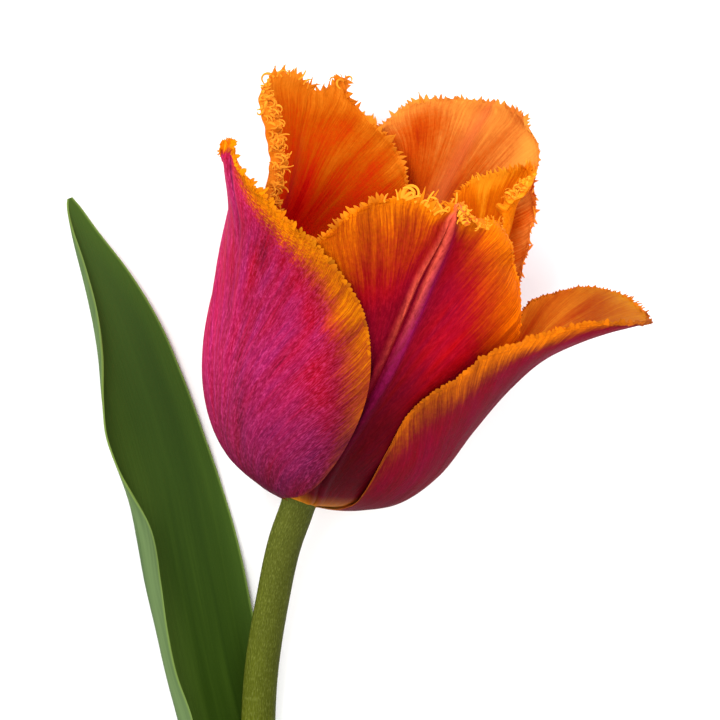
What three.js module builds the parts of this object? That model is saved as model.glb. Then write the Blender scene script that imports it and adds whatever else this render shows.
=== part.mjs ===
// A cut fringed tulip lying on a flat surface: six fringed tepals in two whorls,
// six stamens, a pistil, a stem and one clasping leaf.
// Millimetres, +Z up. The stem runs along Y and the flower's mouth opens towards +Y and up.

import * as THREE from 'three';

// ---- Driving dimensions -------------------------------------------------------------

const FLOWER_LEAN = 17;          // degrees that the flower turns from +Y towards +X
const FLOWER_TILT = 22;          // degrees that its mouth is raised above the surface
const BASE_RADIUS = 4.3;         // where a tepal starts, from the flower's axis
const OUTER_BASE_HEIGHT = 0.6;   // along the axis, outer whorl
const INNER_BASE_HEIGHT = 2.0;   // along the axis, inner whorl

const TEPAL_THICKNESS = 0.8;
const TEPAL_ROWS = 18;           // grid rows from base to top
const TEPAL_COLUMNS = 12;        // grid columns from margin to margin
const FRINGE_LENGTH = 1.3;
const FRINGE_PITCH = 2.6;        // along the margin
const FRINGE_TIP_THICKNESS = 0.3;
const FRINGE_FROM = 0.3;         // share of a tepal's length below which its margin is smooth

const SURFACE_DROP = 14.35;      // from the flower's base down to the surface it lies on
const STEM_RADIUS = 3.0;
const RECEPTACLE_RADIUS = 3.9;   // the stem's swollen top, which carries the flower
const STEM_SIDES = 16;
const STEM_RINGS = 26;

const LEAF_THICKNESS = 0.8;
const LEAF_ROWS = 32;
const LEAF_COLUMNS = 14;
const LEAF_BEND_STEPS = 40;      // steps that a half section is bent in

const STAMEN_COUNT = 6;
const FILAMENT = { foot: [1.9, 2.9], top: [11.0, 6.4], footRadius: 0.6, topRadius: 0.4, sides: 8 };
const ANTHER = { foot: [11.4, 6.6], top: [21.0, 7.6], radius: 1.05, sides: 8, rings: 6 };
const PISTIL = { sides: 18, lobes: 3, lobeDepth: 0.16 };

// ---- Colours ------------------------------------------------------------------------

const MAGENTA = 0xb8235c;
const ORANGE = 0xe07a2a;
const CORAL = 0xd8503a;
const STEM_GREEN = 0x7d8c46;
const LEAF_GREEN = 0x4c7038;
const PISTIL_GREEN = 0xb9b66a;
const FILAMENT_YELLOW = 0xd9c45a;
const ANTHER_PURPLE = 0x3a2030;

// ---- Curves and coordinates -----------------------------------------------------------

const rad = THREE.MathUtils.degToRad;
const clamp = THREE.MathUtils.clamp;

// The flower's own axes: along it, towards the viewer above it (azimuth 0) and to its right.
const lean = rad(FLOWER_LEAN);
const tilt = rad(FLOWER_TILT);
const AXIS = new THREE.Vector3(
  Math.sin(lean) * Math.cos(tilt), Math.cos(lean) * Math.cos(tilt), Math.sin(tilt));
const FRONT = new THREE.Vector3(
  -Math.sin(lean) * Math.sin(tilt), -Math.cos(lean) * Math.sin(tilt), Math.cos(tilt));
const SIDE = new THREE.Vector3(Math.cos(lean), -Math.sin(lean), 0);

// A point of the flower, from its height along the axis, its distance from it and its azimuth.
function inFlower([height, radius, azimuth]) {
  const turn = rad(azimuth);
  return new THREE.Vector3()
    .addScaledVector(AXIS, height)
    .addScaledVector(FRONT, radius * Math.cos(turn))
    .addScaledVector(SIDE, radius * Math.sin(turn));
}

// The z of a point at a height above the surface that the plant lies on.
const aboveSurface = (height) => height - SURFACE_DROP;

// A tepal's middle surface, pressed flat where its weight rests on the surface.
function pressed(point) {
  point.z = Math.max(point.z, aboveSurface(TEPAL_THICKNESS / 2));
  return point;
}

// Smooth interpolation of rows of numbers given at rising keys.
function interpolate(keys, rows, at) {
  const last = keys.length - 1;
  const slope = (i) => rows[i].map((value, k) => {
    if (i === 0) return (rows[1][k] - value) / (keys[1] - keys[0]);
    if (i === last) return (value - rows[last - 1][k]) / (keys[last] - keys[last - 1]);
    const before = keys[i] - keys[i - 1];
    const after = keys[i + 1] - keys[i];
    const rise = (value - rows[i - 1][k]) / before;
    const next = (rows[i + 1][k] - value) / after;
    return (rise * after + next * before) / (before + after);
  });
  let i = 0;
  while (i < last - 1 && at >= keys[i + 1]) i += 1;
  const span = keys[i + 1] - keys[i];
  const t = clamp((at - keys[i]) / span, 0, 1);
  const start = slope(i);
  const end = slope(i + 1);
  return rows[i].map((value, k) =>
    (2 * t ** 3 - 3 * t ** 2 + 1) * value + (t ** 3 - 2 * t ** 2 + t) * span * start[k]
    + (3 * t ** 2 - 2 * t ** 3) * rows[i + 1][k] + (t ** 3 - t ** 2) * span * end[k]);
}

// Keys from 0 to 1 that grow with the distance between neighbouring points.
function chordKeys(points) {
  const keys = [0];
  for (let i = 1; i < points.length; i += 1) {
    keys.push(keys[i - 1] + points[i].distanceTo(points[i - 1]) ** 0.75);
  }
  return keys.map((key) => key / keys.at(-1));
}

// ---- Closed bodies --------------------------------------------------------------------

function closedMesh(name, vertices, triangles, color, roughness) {
  const geometry = new THREE.BufferGeometry();
  const positions = vertices.flatMap((v) => [v.x, v.y, v.z]);
  geometry.setAttribute('position', new THREE.Float32BufferAttribute(positions, 3));
  geometry.setIndex(triangles.flat());
  geometry.computeVertexNormals();
  const material = new THREE.MeshStandardMaterial({ color, roughness, metalness: 0 });
  const mesh = new THREE.Mesh(geometry, material);
  mesh.name = name;
  return mesh;
}

// A thin blade around a grid of points. Its front faces the side from which the rows run
// up and the columns run right. toothed(row, length) tells which margin steps carry fringe.
function blade(name, grid, thickness, color, roughness, toothed = () => false) {
  const rows = grid.length - 1;
  const columns = grid[0].length - 1;
  const at = (i, j) => grid[clamp(i, 0, rows)][clamp(j, 0, columns)];
  const vertices = [];
  const triangles = [];

  // Each surface point becomes a front and a back vertex, numbered 2k and 2k + 1.
  const pair = (front, back) => {
    vertices.push(front, back);
    return vertices.length / 2 - 1;
  };
  const node = grid.map((line, i) => line.map((point, j) => {
    const across = at(i, j + 1).clone().sub(at(i, j - 1));
    const along = at(i + 1, j).clone().sub(at(i - 1, j));
    const out = across.cross(along).setLength(thickness / 2);
    return pair(point.clone().add(out), point.clone().sub(out));
  }));
  const between = (a, b, share) => pair(
    vertices[2 * a].clone().lerp(vertices[2 * b], share),
    vertices[2 * a + 1].clone().lerp(vertices[2 * b + 1], share));

  // The margin step from a to b, anticlockwise seen from the front, cut into teeth.
  const marginStep = (a, b, inner, hasTeeth) => {
    const from = vertices[2 * a];
    const to = vertices[2 * b];
    const count = hasTeeth ? Math.max(1, Math.round(from.distanceTo(to) / FRINGE_PITCH)) : 1;
    const stops = [a];
    for (let k = 1; k < count; k += 1) stops.push(between(a, b, k / count));
    stops.push(b);
    if (!hasTeeth) return { stops, outline: stops };
    const outline = [a];
    for (let k = 0; k < count; k += 1) {
      const foot = between(stops[k], stops[k + 1], 0.5);
      const front = vertices[2 * foot];
      const back = vertices[2 * foot + 1];
      const middle = front.clone().lerp(back, 0.5);
      const step = to.clone().sub(from).normalize();
      const outward = middle.clone().sub(inner);
      outward.addScaledVector(step, -outward.dot(step)).setLength(FRINGE_LENGTH);
      const half = front.clone().sub(back).setLength(FRINGE_TIP_THICKNESS / 2);
      vertices[2 * foot] = middle.clone().add(outward).add(half);
      vertices[2 * foot + 1] = middle.clone().add(outward).sub(half);
      outline.push(foot, stops[k + 1]);
      triangles.push([2 * stops[k], 2 * foot, 2 * stops[k + 1]]);
      triangles.push([2 * stops[k] + 1, 2 * stops[k + 1] + 1, 2 * foot + 1]);
    }
    return { stops, outline };
  };

  for (let i = 0; i < rows; i += 1) {
    for (let j = 0; j < columns; j += 1) {
      const corners = [node[i][j], node[i][j + 1], node[i + 1][j + 1], node[i + 1][j]];
      const onMargin = [i === 0, j === columns - 1, i === rows - 1, j === 0];
      const steps = corners.map((corner, k) => {
        const next = corners[(k + 1) % 4];
        if (!onMargin[k]) return [corner, next];
        const inner = grid[clamp(i, 1, rows - 1)][clamp(j, 1, columns - 1)];
        const length = vertices[2 * corner].distanceTo(vertices[2 * next]);
        const { stops, outline } = marginStep(corner, next, inner, k > 0 && toothed(i, length));
        for (let m = 0; m + 1 < outline.length; m += 1) {
          const [a, b] = [outline[m], outline[m + 1]];
          triangles.push([2 * a, 2 * a + 1, 2 * b + 1], [2 * a, 2 * b + 1, 2 * b]);
        }
        return stops;
      });
      // The cell is a fan from the one corner that no cut step touches, where there is one.
      const first = [0, 1, 2, 3].find((k) => steps[k].length === 2 && steps[(k + 3) % 4].length === 2) ?? 0;
      const ring = [0, 1, 2, 3].flatMap((k) => steps[(first + k) % 4].slice(0, -1));
      for (let m = 1; m + 1 < ring.length; m += 1) {
        triangles.push([2 * ring[0], 2 * ring[m], 2 * ring[m + 1]]);
        triangles.push([2 * ring[0] + 1, 2 * ring[m + 1] + 1, 2 * ring[m] + 1]);
      }
    }
  }
  return closedMesh(name, vertices, triangles, color, roughness);
}

// A solid around a path of points, with a radius at each and both ends closed.
function rod(name, path, radiusAt, sides, color, roughness, shape = () => 1) {
  const vertices = [];
  const triangles = [];
  const last = path.length - 1;
  const forward = path.map((point, i) =>
    path[Math.min(i + 1, last)].clone().sub(path[Math.max(i - 1, 0)]).normalize());
  const guide = Math.abs(forward[0].x) < 0.9 ? new THREE.Vector3(1, 0, 0) : new THREE.Vector3(0, 1, 0);
  path.forEach((point, i) => {
    const u = guide.clone().addScaledVector(forward[i], -guide.dot(forward[i])).normalize();
    const v = forward[i].clone().cross(u);
    for (let k = 0; k < sides; k += 1) {
      const turn = (2 * Math.PI * k) / sides;
      const radius = radiusAt(i / last) * shape(turn);
      vertices.push(point.clone()
        .addScaledVector(u, radius * Math.cos(turn))
        .addScaledVector(v, radius * Math.sin(turn)));
    }
  });
  for (let i = 0; i < last; i += 1) {
    for (let k = 0; k < sides; k += 1) {
      const [a, b] = [i * sides + k, i * sides + ((k + 1) % sides)];
      triangles.push([a, b, b + sides], [a, b + sides, a + sides]);
    }
  }
  const foot = vertices.push(path[0].clone()) - 1;
  const top = vertices.push(path[last].clone()) - 1;
  for (let k = 0; k < sides; k += 1) {
    const next = (k + 1) % sides;
    triangles.push([foot, next, k], [top, last * sides + k, last * sides + next]);
  }
  return closedMesh(name, vertices, triangles, color, roughness);
}

// ---- Tepals -----------------------------------------------------------------------------

// Each tepal is spanned by three lines, its left margin, midrib and right margin, from base
// to top. A point is [height along the axis, distance from it, azimuth]; azimuth 0 is the
// flower's upper side and +90 its right.
const OUTER_BASE = [OUTER_BASE_HEIGHT, BASE_RADIUS];
const INNER_BASE = [INNER_BASE_HEIGHT, BASE_RADIUS];

const TEPALS = {
  outer_tepal_left: {
    color: MAGENTA,
    left: [[...OUTER_BASE, -75], [3, 11, -82], [9, 18.6, -98], [19, 23.8, -112], [33, 25, -116],
      [46, 25.3, -108], [55, 26.2, -92], [61, 29, -76], [65.5, 32.5, -66]],
    midrib: [[...OUTER_BASE, -50], [4, 13, -50], [12, 20.6, -52], [24, 24.8, -54], [38, 25.6, -56],
      [50, 26.5, -60], [59, 30, -64], [66.2, 34, -62.5]],
    right: [[...OUTER_BASE, -25], [3, 11, -15], [8.9, 18.2, 2], [19, 23.3, 11.6], [34.4, 25.1, 14.5],
      [47.3, 25.4, 3], [55.5, 25.7, -20], [58.4, 27.5, -46], [63.2, 31, -56.5], [66.3, 33.3, -59]],
  },
  inner_tepal_front: {
    color: CORAL,
    left: [[...INNER_BASE, -15], [3.4, 8, -18], [8, 14, -26], [16, 19.8, -36], [27, 22.4, -42],
      [39, 23.2, -42], [48, 23.4, -36], [55.8, 24, -23.6], [61.1, 23, -16.2], [65.3, 22, -7.7],
      [67.8, 22, 4]],
    midrib: [[...INNER_BASE, 10], [5.8, 12.5, 9], [10.5, 17, 9], [18.9, 21.5, 9.7], [26.5, 22.8, 13],
      [35.7, 23.3, 17.2], [47, 23.6, 20.3], [54.8, 23.8, 21.9], [61.5, 24, 24.5], [68.6, 22.2, 29]],
    right: [[...INNER_BASE, 35], [3.4, 8, 38], [9, 15.2, 50], [18, 20.5, 62], [30, 25.5, 72],
      [42, 28.6, 77.2], [46.4, 28, 77.4], [52.3, 27, 75.5], [58.5, 25, 66.7], [62.7, 25, 59.8],
      [66.7, 23, 53.8]],
  },
  outer_tepal_right: {
    color: MAGENTA,
    left: [[...OUTER_BASE, 45], [3, 11, 38], [11.5, 20.2, 26.2], [22.3, 24, 26.3], [29.6, 24.9, 29.2],
      [33.5, 26, 33.8], [37.8, 27.5, 42], [43.1, 29, 49.3], [47.7, 32, 59], [50.3, 36, 68.2],
      [52.6, 41.5, 72.9], [53.2, 48, 80]],
    midrib: [[...OUTER_BASE, 70], [1.6, 8, 70], [4, 13.2, 70], [7.7, 18, 70], [13.9, 22.5, 76],
      [23.6, 26.5, 79], [33, 30.5, 79], [40, 34.5, 79], [45.5, 39.5, 79], [49.5, 44.5, 81],
      [52, 49, 85]],
    right: [[...OUTER_BASE, 95], [3, 11, 100], [10, 18.5, 102], [20, 23.5, 102], [32, 26.5, 104],
      [40, 28.5, 108], [44.1, 30, 110.3], [47.7, 34, 106.8], [49.8, 38, 105], [51.5, 43, 99.7],
      [51.5, 48.5, 91]],
  },
  inner_tepal_back_right: {
    color: ORANGE,
    left: [[...INNER_BASE, 105], [3.4, 8, 100], [9, 15.2, 93], [18, 20.6, 88], [30, 22.5, 85],
      [40, 22.3, 88], [50, 21, 95], [57, 20, 103], [61.2, 20.3, 107.5], [66.7, 23, 106.5]],
    midrib: [[...INNER_BASE, 130], [5.8, 12.5, 129], [16, 20.2, 127], [28, 22.6, 125], [40, 23, 124],
      [52, 23, 123], [60, 23, 122], [66.8, 23.2, 122]],
    right: [[...INNER_BASE, 155], [3.4, 8, 158], [9, 15.2, 160], [18, 20.6, 162], [30, 22.3, 162],
      [42, 22.2, 160], [50, 22, 157], [56, 22, 151], [60.3, 22.5, 142.7]],
  },
  outer_tepal_back: {
    color: ORANGE,
    left: [[...OUTER_BASE, 165], [3, 11, 152], [10, 19, 134], [20, 23.3, 122], [32, 25.2, 112],
      [42, 25.8, 105], [50, 26, 101], [57, 26, 103], [65, 25.8, 108], [70.5, 25.2, 118],
      [74.3, 25.5, 133]],
    midrib: [[...OUTER_BASE, 190], [4, 13, 186], [12, 20.6, 180], [24, 24.3, 174], [38, 25, 167],
      [50, 24.8, 162], [60, 25, 158], [67, 25.6, 155], [72.3, 26.3, 153]],
    right: [[...OUTER_BASE, 215], [3, 11, 222], [10, 19, 232], [20, 23.5, 238], [32, 25, 238],
      [44, 25.3, 230], [54, 25.4, 216], [60, 25.3, 204], [63.1, 25.4, 195], [67, 25.6, 184]],
  },
  inner_tepal_back_left: {
    color: CORAL,
    left: [[...INNER_BASE, 225], [3.4, 8, 221], [9, 15.2, 208], [18, 20.6, 192], [30, 22.2, 180],
      [42, 21.6, 173], [48, 21, 170.5], [53.3, 21, 171.8], [57.9, 22, 179.3], [61.9, 23, 191.5],
      [64.4, 24, 201.8], [67.2, 24.5, 209.2]],
    midrib: [[...INNER_BASE, 250], [5.8, 12.5, 248], [16, 20.2, 244], [30, 22.2, 240],
      [40, 21.8, 236], [48.9, 21.3, 234], [61.2, 24, 229.6], [70, 25, 229]],
    right: [[...INNER_BASE, 275], [3.4, 8, 279], [9, 15.2, 285], [18, 20.6, 288], [30, 22.2, 284],
      [42, 21.3, 272], [50, 20.5, 266], [56, 21.5, 264], [62, 24, 262], [66, 26.5, 258],
      [70.5, 27, 246]],
  },
};

// A line's coordinates at every share of its length from base to top.
function alongLine(points) {
  const keys = chordKeys(points.map(inFlower));
  return (share) => interpolate(keys, points, share);
}

function tepal(name, { color, left, midrib, right }) {
  const lines = [left, midrib, right].map(alongLine);
  const grid = [];
  for (let i = 0; i <= TEPAL_ROWS; i += 1) {
    const [l, m, r] = lines.map((line) => line(i / TEPAL_ROWS));
    const row = [];
    for (let j = 0; j <= TEPAL_COLUMNS; j += 1) {
      const u = (2 * j) / TEPAL_COLUMNS - 1;
      row.push(pressed(inFlower(m.map((middle, k) =>
        middle + ((r[k] - l[k]) / 2) * u + ((l[k] + r[k]) / 2 - middle) * u * u))));
    }
    grid.push(row);
  }
  const toothed = (row, length) => row >= FRINGE_FROM * TEPAL_ROWS && length > FRINGE_PITCH / 2;
  return blade(name, grid, TEPAL_THICKNESS, color, 0.6, toothed);
}

// ---- Stem and leaf ----------------------------------------------------------------------

// The stem's centre line as [x, y, height above the surface], receptacle to cut end.
const STEM_LINE = [
  [0.33, 1.06, 14.8], [-0.5, -1.7, 13.6], [-2.6, -7.6, 11.3], [-4.9, -18, 8.2],
  [-6.9, -30.5, 6.2], [-7.7, -45, 5.0], [-8.1, -62, 4.45], [-8.2, -80, 4.25],
  [-8, -100, 3.65], [-7.6, -130, 3.05], [-7, -165, 3.0],
];
const RECEPTACLE_LENGTH = 0.025;   // share of the stem that the receptacle takes

function stem() {
  const line = new THREE.CatmullRomCurve3(
    STEM_LINE.map(([x, y, height]) => new THREE.Vector3(x, y, aboveSurface(height))));
  line.arcLengthDivisions = 400;
  const shares = [0, 0.004, 0.009, 0.016, RECEPTACLE_LENGTH];
  for (let i = 1; i <= STEM_RINGS - 4; i += 1) {
    shares.push(RECEPTACLE_LENGTH + ((1 - RECEPTACLE_LENGTH) * i) / (STEM_RINGS - 4));
  }
  const path = shares.map((share) => line.getPointAt(share));
  const radiusAt = (ring) => {
    const swell = Math.max(0, 1 - shares[Math.round(ring * (shares.length - 1))] / RECEPTACLE_LENGTH);
    return STEM_RADIUS + (RECEPTACLE_RADIUS - STEM_RADIUS) * Math.sqrt(swell);
  };
  return rod('stem', path, radiusAt, STEM_SIDES, STEM_GREEN, 0.5);
}

// Leaf stations from the clasping foot to the tip. right and left are half widths along the
// blade; curl and edgeCurl are the degrees that a half turns up, evenly and near its margin.
const LEAF_FIELDS = ['y', 'x', 'height', 'roll', 'left', 'right', 'leftCurl', 'leftEdgeCurl', 'rightCurl'];
const LEAF_STATIONS = [
  [-86, -8.2, 0.45, 0, 5.0, 5.0, 76, 0, 76],
  [-78, -8.2, 0.45, 0, 6.2, 6.0, 92, 0, 88],
  [-66, -9.3, 0.5, 2, 9.0, 8.0, 92, 10, 60],
  [-50, -12.6, 0.6, 6, 11.0, 9.4, 88, 45, 34],
  [-30, -17.0, 0.7, 8, 12.5, 10.4, 78, 75, 30],
  [-14, -20.2, 0.8, 8, 13.0, 10.4, 72, 85, 24],
  [2, -23.4, 0.9, 8, 12.8, 9.6, 66, 60, 22],
  [14, -26.6, 1.1, 8, 11.2, 8.4, 60, 20, 20],
  [27, -31.0, 1.6, 8, 8.8, 6.2, 60, 70, 20],
  [38, -35.2, 2.3, 8, 6.2, 4.4, 60, 80, 20],
  [47, -38.6, 3.1, 6, 3.4, 2.4, 50, 70, 20],
  [54, -41.3, 3.8, 4, 0.7, 0.6, 20, 10, 10],
];

function leafStation(y) {
  const values = interpolate(LEAF_STATIONS.map((row) => row[0]), LEAF_STATIONS, y);
  return Object.fromEntries(LEAF_FIELDS.map((field, k) => [field, values[k]]));
}

// How far out and up a half section has gone at a share of its width.
function bend(width, curl, edgeCurl, roll, share) {
  let out = 0;
  let up = 0;
  for (let k = 0; k < LEAF_BEND_STEPS; k += 1) {
    const f = (share * (k + 0.5)) / LEAF_BEND_STEPS;
    const turn = rad(roll + curl * f + edgeCurl * f ** 4);
    out += (Math.cos(turn) * width * share) / LEAF_BEND_STEPS;
    up += (Math.sin(turn) * width * share) / LEAF_BEND_STEPS;
  }
  return { out, up };
}

function leaf() {
  const first = LEAF_STATIONS[0][0];
  const last = LEAF_STATIONS.at(-1)[0];
  const rib = (y) => {
    const at = leafStation(y);
    return new THREE.Vector3(at.x, y, aboveSurface(at.height));
  };
  const grid = [];
  for (let i = 0; i <= LEAF_ROWS; i += 1) {
    const y = first + ((last - first) * i) / LEAF_ROWS;
    const at = leafStation(y);
    const forward = rib(Math.min(y + 1, last)).sub(rib(Math.max(y - 1, first))).normalize();
    const side = forward.clone().cross(new THREE.Vector3(0, 0, 1)).normalize();
    const up = side.clone().cross(forward);
    const row = [];
    for (let j = 0; j <= LEAF_COLUMNS; j += 1) {
      const v = (2 * j) / LEAF_COLUMNS - 1;
      const section = v < 0
        ? bend(at.left, at.leftCurl, at.leftEdgeCurl, at.roll, -v)
        : bend(at.right, at.rightCurl, 0, -at.roll, v);
      row.push(rib(y)
        .addScaledVector(side, Math.sign(v) * section.out)
        .addScaledVector(up, section.up));
    }
    grid.push(row);
  }
  return blade('leaf', grid, LEAF_THICKNESS, LEAF_GREEN, 0.45);
}

// ---- Stamens and pistil -------------------------------------------------------------------

function betweenStations([h0, r0], [h1, r1], azimuth, steps) {
  return Array.from({ length: steps + 1 }, (unused, i) =>
    inFlower([h0 + ((h1 - h0) * i) / steps, r0 + ((r1 - r0) * i) / steps, azimuth]));
}

function stamen(number) {
  const azimuth = 10 + (360 / STAMEN_COUNT) * (number - 1);
  const filament = rod(
    `filament_${number}`, betweenStations(FILAMENT.foot, FILAMENT.top, azimuth, 3),
    (share) => FILAMENT.footRadius + (FILAMENT.topRadius - FILAMENT.footRadius) * share,
    FILAMENT.sides, FILAMENT_YELLOW, 0.6);
  const anther = rod(
    `anther_${number}`, betweenStations(ANTHER.foot, ANTHER.top, azimuth, ANTHER.rings),
    (share) => ANTHER.radius * Math.max(0.35, Math.sin(Math.PI * (0.12 + 0.76 * share)) ** 0.5),
    ANTHER.sides, ANTHER_PURPLE, 0.8);
  return [filament, anther];
}

// The ovary with its three-lobed stigma: [height along the axis, radius].
const PISTIL_PROFILE = [
  [1.5, 1.8], [3, 2.3], [6, 2.8], [11, 3.0], [15, 2.7], [17.5, 2.3], [18.6, 3.2], [20, 3.9],
  [21.2, 3.3], [21.6, 1.6],
];

function pistil() {
  const path = PISTIL_PROFILE.map(([height]) => inFlower([height, 0, 0]));
  const radiusAt = (share) => PISTIL_PROFILE[Math.round(share * (path.length - 1))][1];
  const lobed = (turn) => 1 - PISTIL.lobeDepth * (1 - Math.cos(PISTIL.lobes * turn)) / 2;
  return rod('pistil', path, radiusAt, PISTIL.sides, PISTIL_GREEN, 0.6, lobed);
}

// ---- The whole flower -----------------------------------------------------------------------

const plant = new THREE.Group();
for (const [name, lines] of Object.entries(TEPALS)) plant.add(tepal(name, lines));
plant.add(pistil());
for (let number = 1; number <= STAMEN_COUNT; number += 1) plant.add(...stamen(number));
plant.add(stem());
plant.add(leaf());

// The origin is under the middle of the plant, on the surface that it lies on.
const box = new THREE.Box3().setFromObject(plant);
plant.position.set(-(box.min.x + box.max.x) / 2, -(box.min.y + box.max.y) / 2, -box.min.z);

const part = new THREE.Group();
part.add(plant);

export default part;
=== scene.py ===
import math

import bpy
import numpy as np
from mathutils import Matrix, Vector

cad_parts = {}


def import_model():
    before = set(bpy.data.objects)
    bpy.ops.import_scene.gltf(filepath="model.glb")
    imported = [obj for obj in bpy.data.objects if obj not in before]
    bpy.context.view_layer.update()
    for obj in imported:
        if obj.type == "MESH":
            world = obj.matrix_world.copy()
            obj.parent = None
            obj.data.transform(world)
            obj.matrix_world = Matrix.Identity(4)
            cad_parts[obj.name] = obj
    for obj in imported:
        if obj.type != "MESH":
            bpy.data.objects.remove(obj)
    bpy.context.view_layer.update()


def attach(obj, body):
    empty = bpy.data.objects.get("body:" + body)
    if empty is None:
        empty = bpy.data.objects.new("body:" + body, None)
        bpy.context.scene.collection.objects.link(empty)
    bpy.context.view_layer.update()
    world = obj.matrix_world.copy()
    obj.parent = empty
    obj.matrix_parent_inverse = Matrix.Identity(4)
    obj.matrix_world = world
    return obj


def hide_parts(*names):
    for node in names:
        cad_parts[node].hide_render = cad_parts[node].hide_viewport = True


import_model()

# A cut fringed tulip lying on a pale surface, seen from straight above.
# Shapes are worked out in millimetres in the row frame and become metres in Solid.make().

MM = 0.001

# ---- Driving dimensions, in millimetres and degrees ----

FLOWER_BASE = np.array([-9.459, 44.905, 14.35])   # the receptacle, where the frame has it
FLOWER_LEAN = 17.0
FLOWER_TILT = 22.0
BASE_RADIUS = 4.3
OUTER_BASE = (0.6, BASE_RADIUS)
INNER_BASE = (2.0, BASE_RADIUS)
FRONT_BASE = (1.9, BASE_RADIUS)

TEPAL_ROWS = 150
TEPAL_COLUMNS = 124
MIDRIB_COLUMN = TEPAL_COLUMNS // 2
MIDDLE_THICKNESS = 0.62
MARGIN_THICKNESS = 0.24
EDGE_THICKNESS = 0.1
FLOOR_GAP = 0.05             # between a resting blade and the surface
CORNER_ROUNDING = 1.2        # of the lines of equal distance from the margins
MARGIN_INSET = 0.6           # the blade ends this far inside its lines, and the fringe fills it
VEIN_SPREAD = 0.055          # how fast the veins fan out on their way up, per millimetre
VEIN_CORE = 0.5              # nearer to the midrib than this the veins keep their width

CAMERA_HEIGHT = 814.35       # above the surface
CAMERA_CENTRE = (1.04, 69.06)
VIEW_WIDTH = 126.0           # of the plane through the receptacle
PLANE_HEIGHT = FLOWER_BASE[2]

# ---- Small maths ----


def smooth(low, high, value):
    """0 below low, 1 above high, with a smooth step between."""
    t = np.clip((value - low) / (high - low), 0, 1)
    return t * t * (3 - 2 * t)


def bump_at(value, centre, width):
    """A bell of height 1 around centre."""
    return np.exp(-(((value - centre) / width) ** 2))


def unit(vectors):
    return vectors / np.maximum(np.linalg.norm(vectors, axis=-1, keepdims=True), 1e-9)


def turned(start, towards, angle):
    """A direction turned by an angle towards another that is square to it."""
    return start * np.cos(angle) + towards * np.sin(angle)


def walked(points, axis=0):
    """How far along its line each point is."""
    steps = np.linalg.norm(np.diff(points, axis=axis), axis=-1)
    return np.insert(np.cumsum(steps, axis=axis), 0, 0, axis=axis)


def surface_normals(points):
    return unit(np.cross(np.gradient(points, axis=1), np.gradient(points, axis=0)))


def interpolate(keys, rows, at):
    """Smooth interpolation of rows of numbers given at rising keys."""
    keys = np.asarray(keys, float)
    rows = np.asarray(rows, float)
    steps = np.diff(keys)[:, None]
    rises = np.diff(rows, axis=0) / steps
    slopes = np.vstack([rises[:1], np.zeros((len(keys) - 2, rows.shape[1])), rises[-1:]])
    slopes[1:-1] = (rises[:-1] * steps[1:] + rises[1:] * steps[:-1]) / (steps[:-1] + steps[1:])
    at = np.asarray(at, float)
    i = np.clip(np.searchsorted(keys, at, side="right") - 1, 0, len(keys) - 2)
    span = keys[i + 1] - keys[i]
    t = np.clip((at - keys[i]) / span, 0, 1)[:, None]
    span = span[:, None]
    return ((2 * t**3 - 3 * t**2 + 1) * rows[i] + (t**3 - 2 * t**2 + t) * span * slopes[i]
            + (3 * t**2 - 2 * t**3) * rows[i + 1] + (t**3 - t**2) * span * slopes[i + 1])


def profile(stations, at):
    """A number that follows (key, value) stations smoothly; stations may be one value for all."""
    if np.isscalar(stations):
        stations = [(0, stations), (1, stations)]
    keys, values = zip(*stations)
    return interpolate(keys, np.array(values)[:, None], np.ravel(at))[:, 0].reshape(np.shape(at))


class Wobble:
    """Seeded smooth noise of one variable, about -1 to 1."""

    def __init__(self, seed, wavelength):
        rng = np.random.default_rng(seed)
        self.frequency = 2 * math.pi / (wavelength * rng.uniform(0.6, 1.9, 5))
        self.phase = rng.uniform(0, 2 * math.pi, 5)

    def __call__(self, x):
        x = np.asarray(x, float)[..., None]
        return np.sin(x * self.frequency + self.phase).sum(-1) / 2.6


# ---- The flower's own coordinates ----

LEAN, TILT = math.radians(FLOWER_LEAN), math.radians(FLOWER_TILT)
AXIS = np.array([math.sin(LEAN) * math.cos(TILT), math.cos(LEAN) * math.cos(TILT), math.sin(TILT)])
FRONT = np.array([-math.sin(LEAN) * math.sin(TILT), -math.cos(LEAN) * math.sin(TILT), math.cos(TILT)])
SIDE = np.array([math.cos(LEAN), -math.sin(LEAN), 0.0])


def in_flower(points):
    """Points from [height along the axis, distance from it, azimuth]; azimuth 0 is its upper side."""
    points = np.asarray(points, float)
    turn = np.radians(points[..., 2])
    return (FLOWER_BASE + points[..., :1] * AXIS
            + (points[..., 1] * np.cos(turn))[..., None] * FRONT
            + (points[..., 1] * np.sin(turn))[..., None] * SIDE)


def on_axis(height):
    return in_flower(np.stack([height, 0 * height, 0 * height], axis=1))


def along_line(points, shares):
    """A line's coordinates at shares of its length from base to top."""
    steps = np.linalg.norm(np.diff(in_flower(points), axis=0), axis=1) ** 0.75
    keys = np.concatenate([[0], np.cumsum(steps)])
    return interpolate(keys / keys[-1], points, shares)


# ---- Meshes ----


def new_object(name, data):
    made = bpy.data.objects.new(name, data)
    bpy.context.scene.collection.objects.link(made)
    return made


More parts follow.
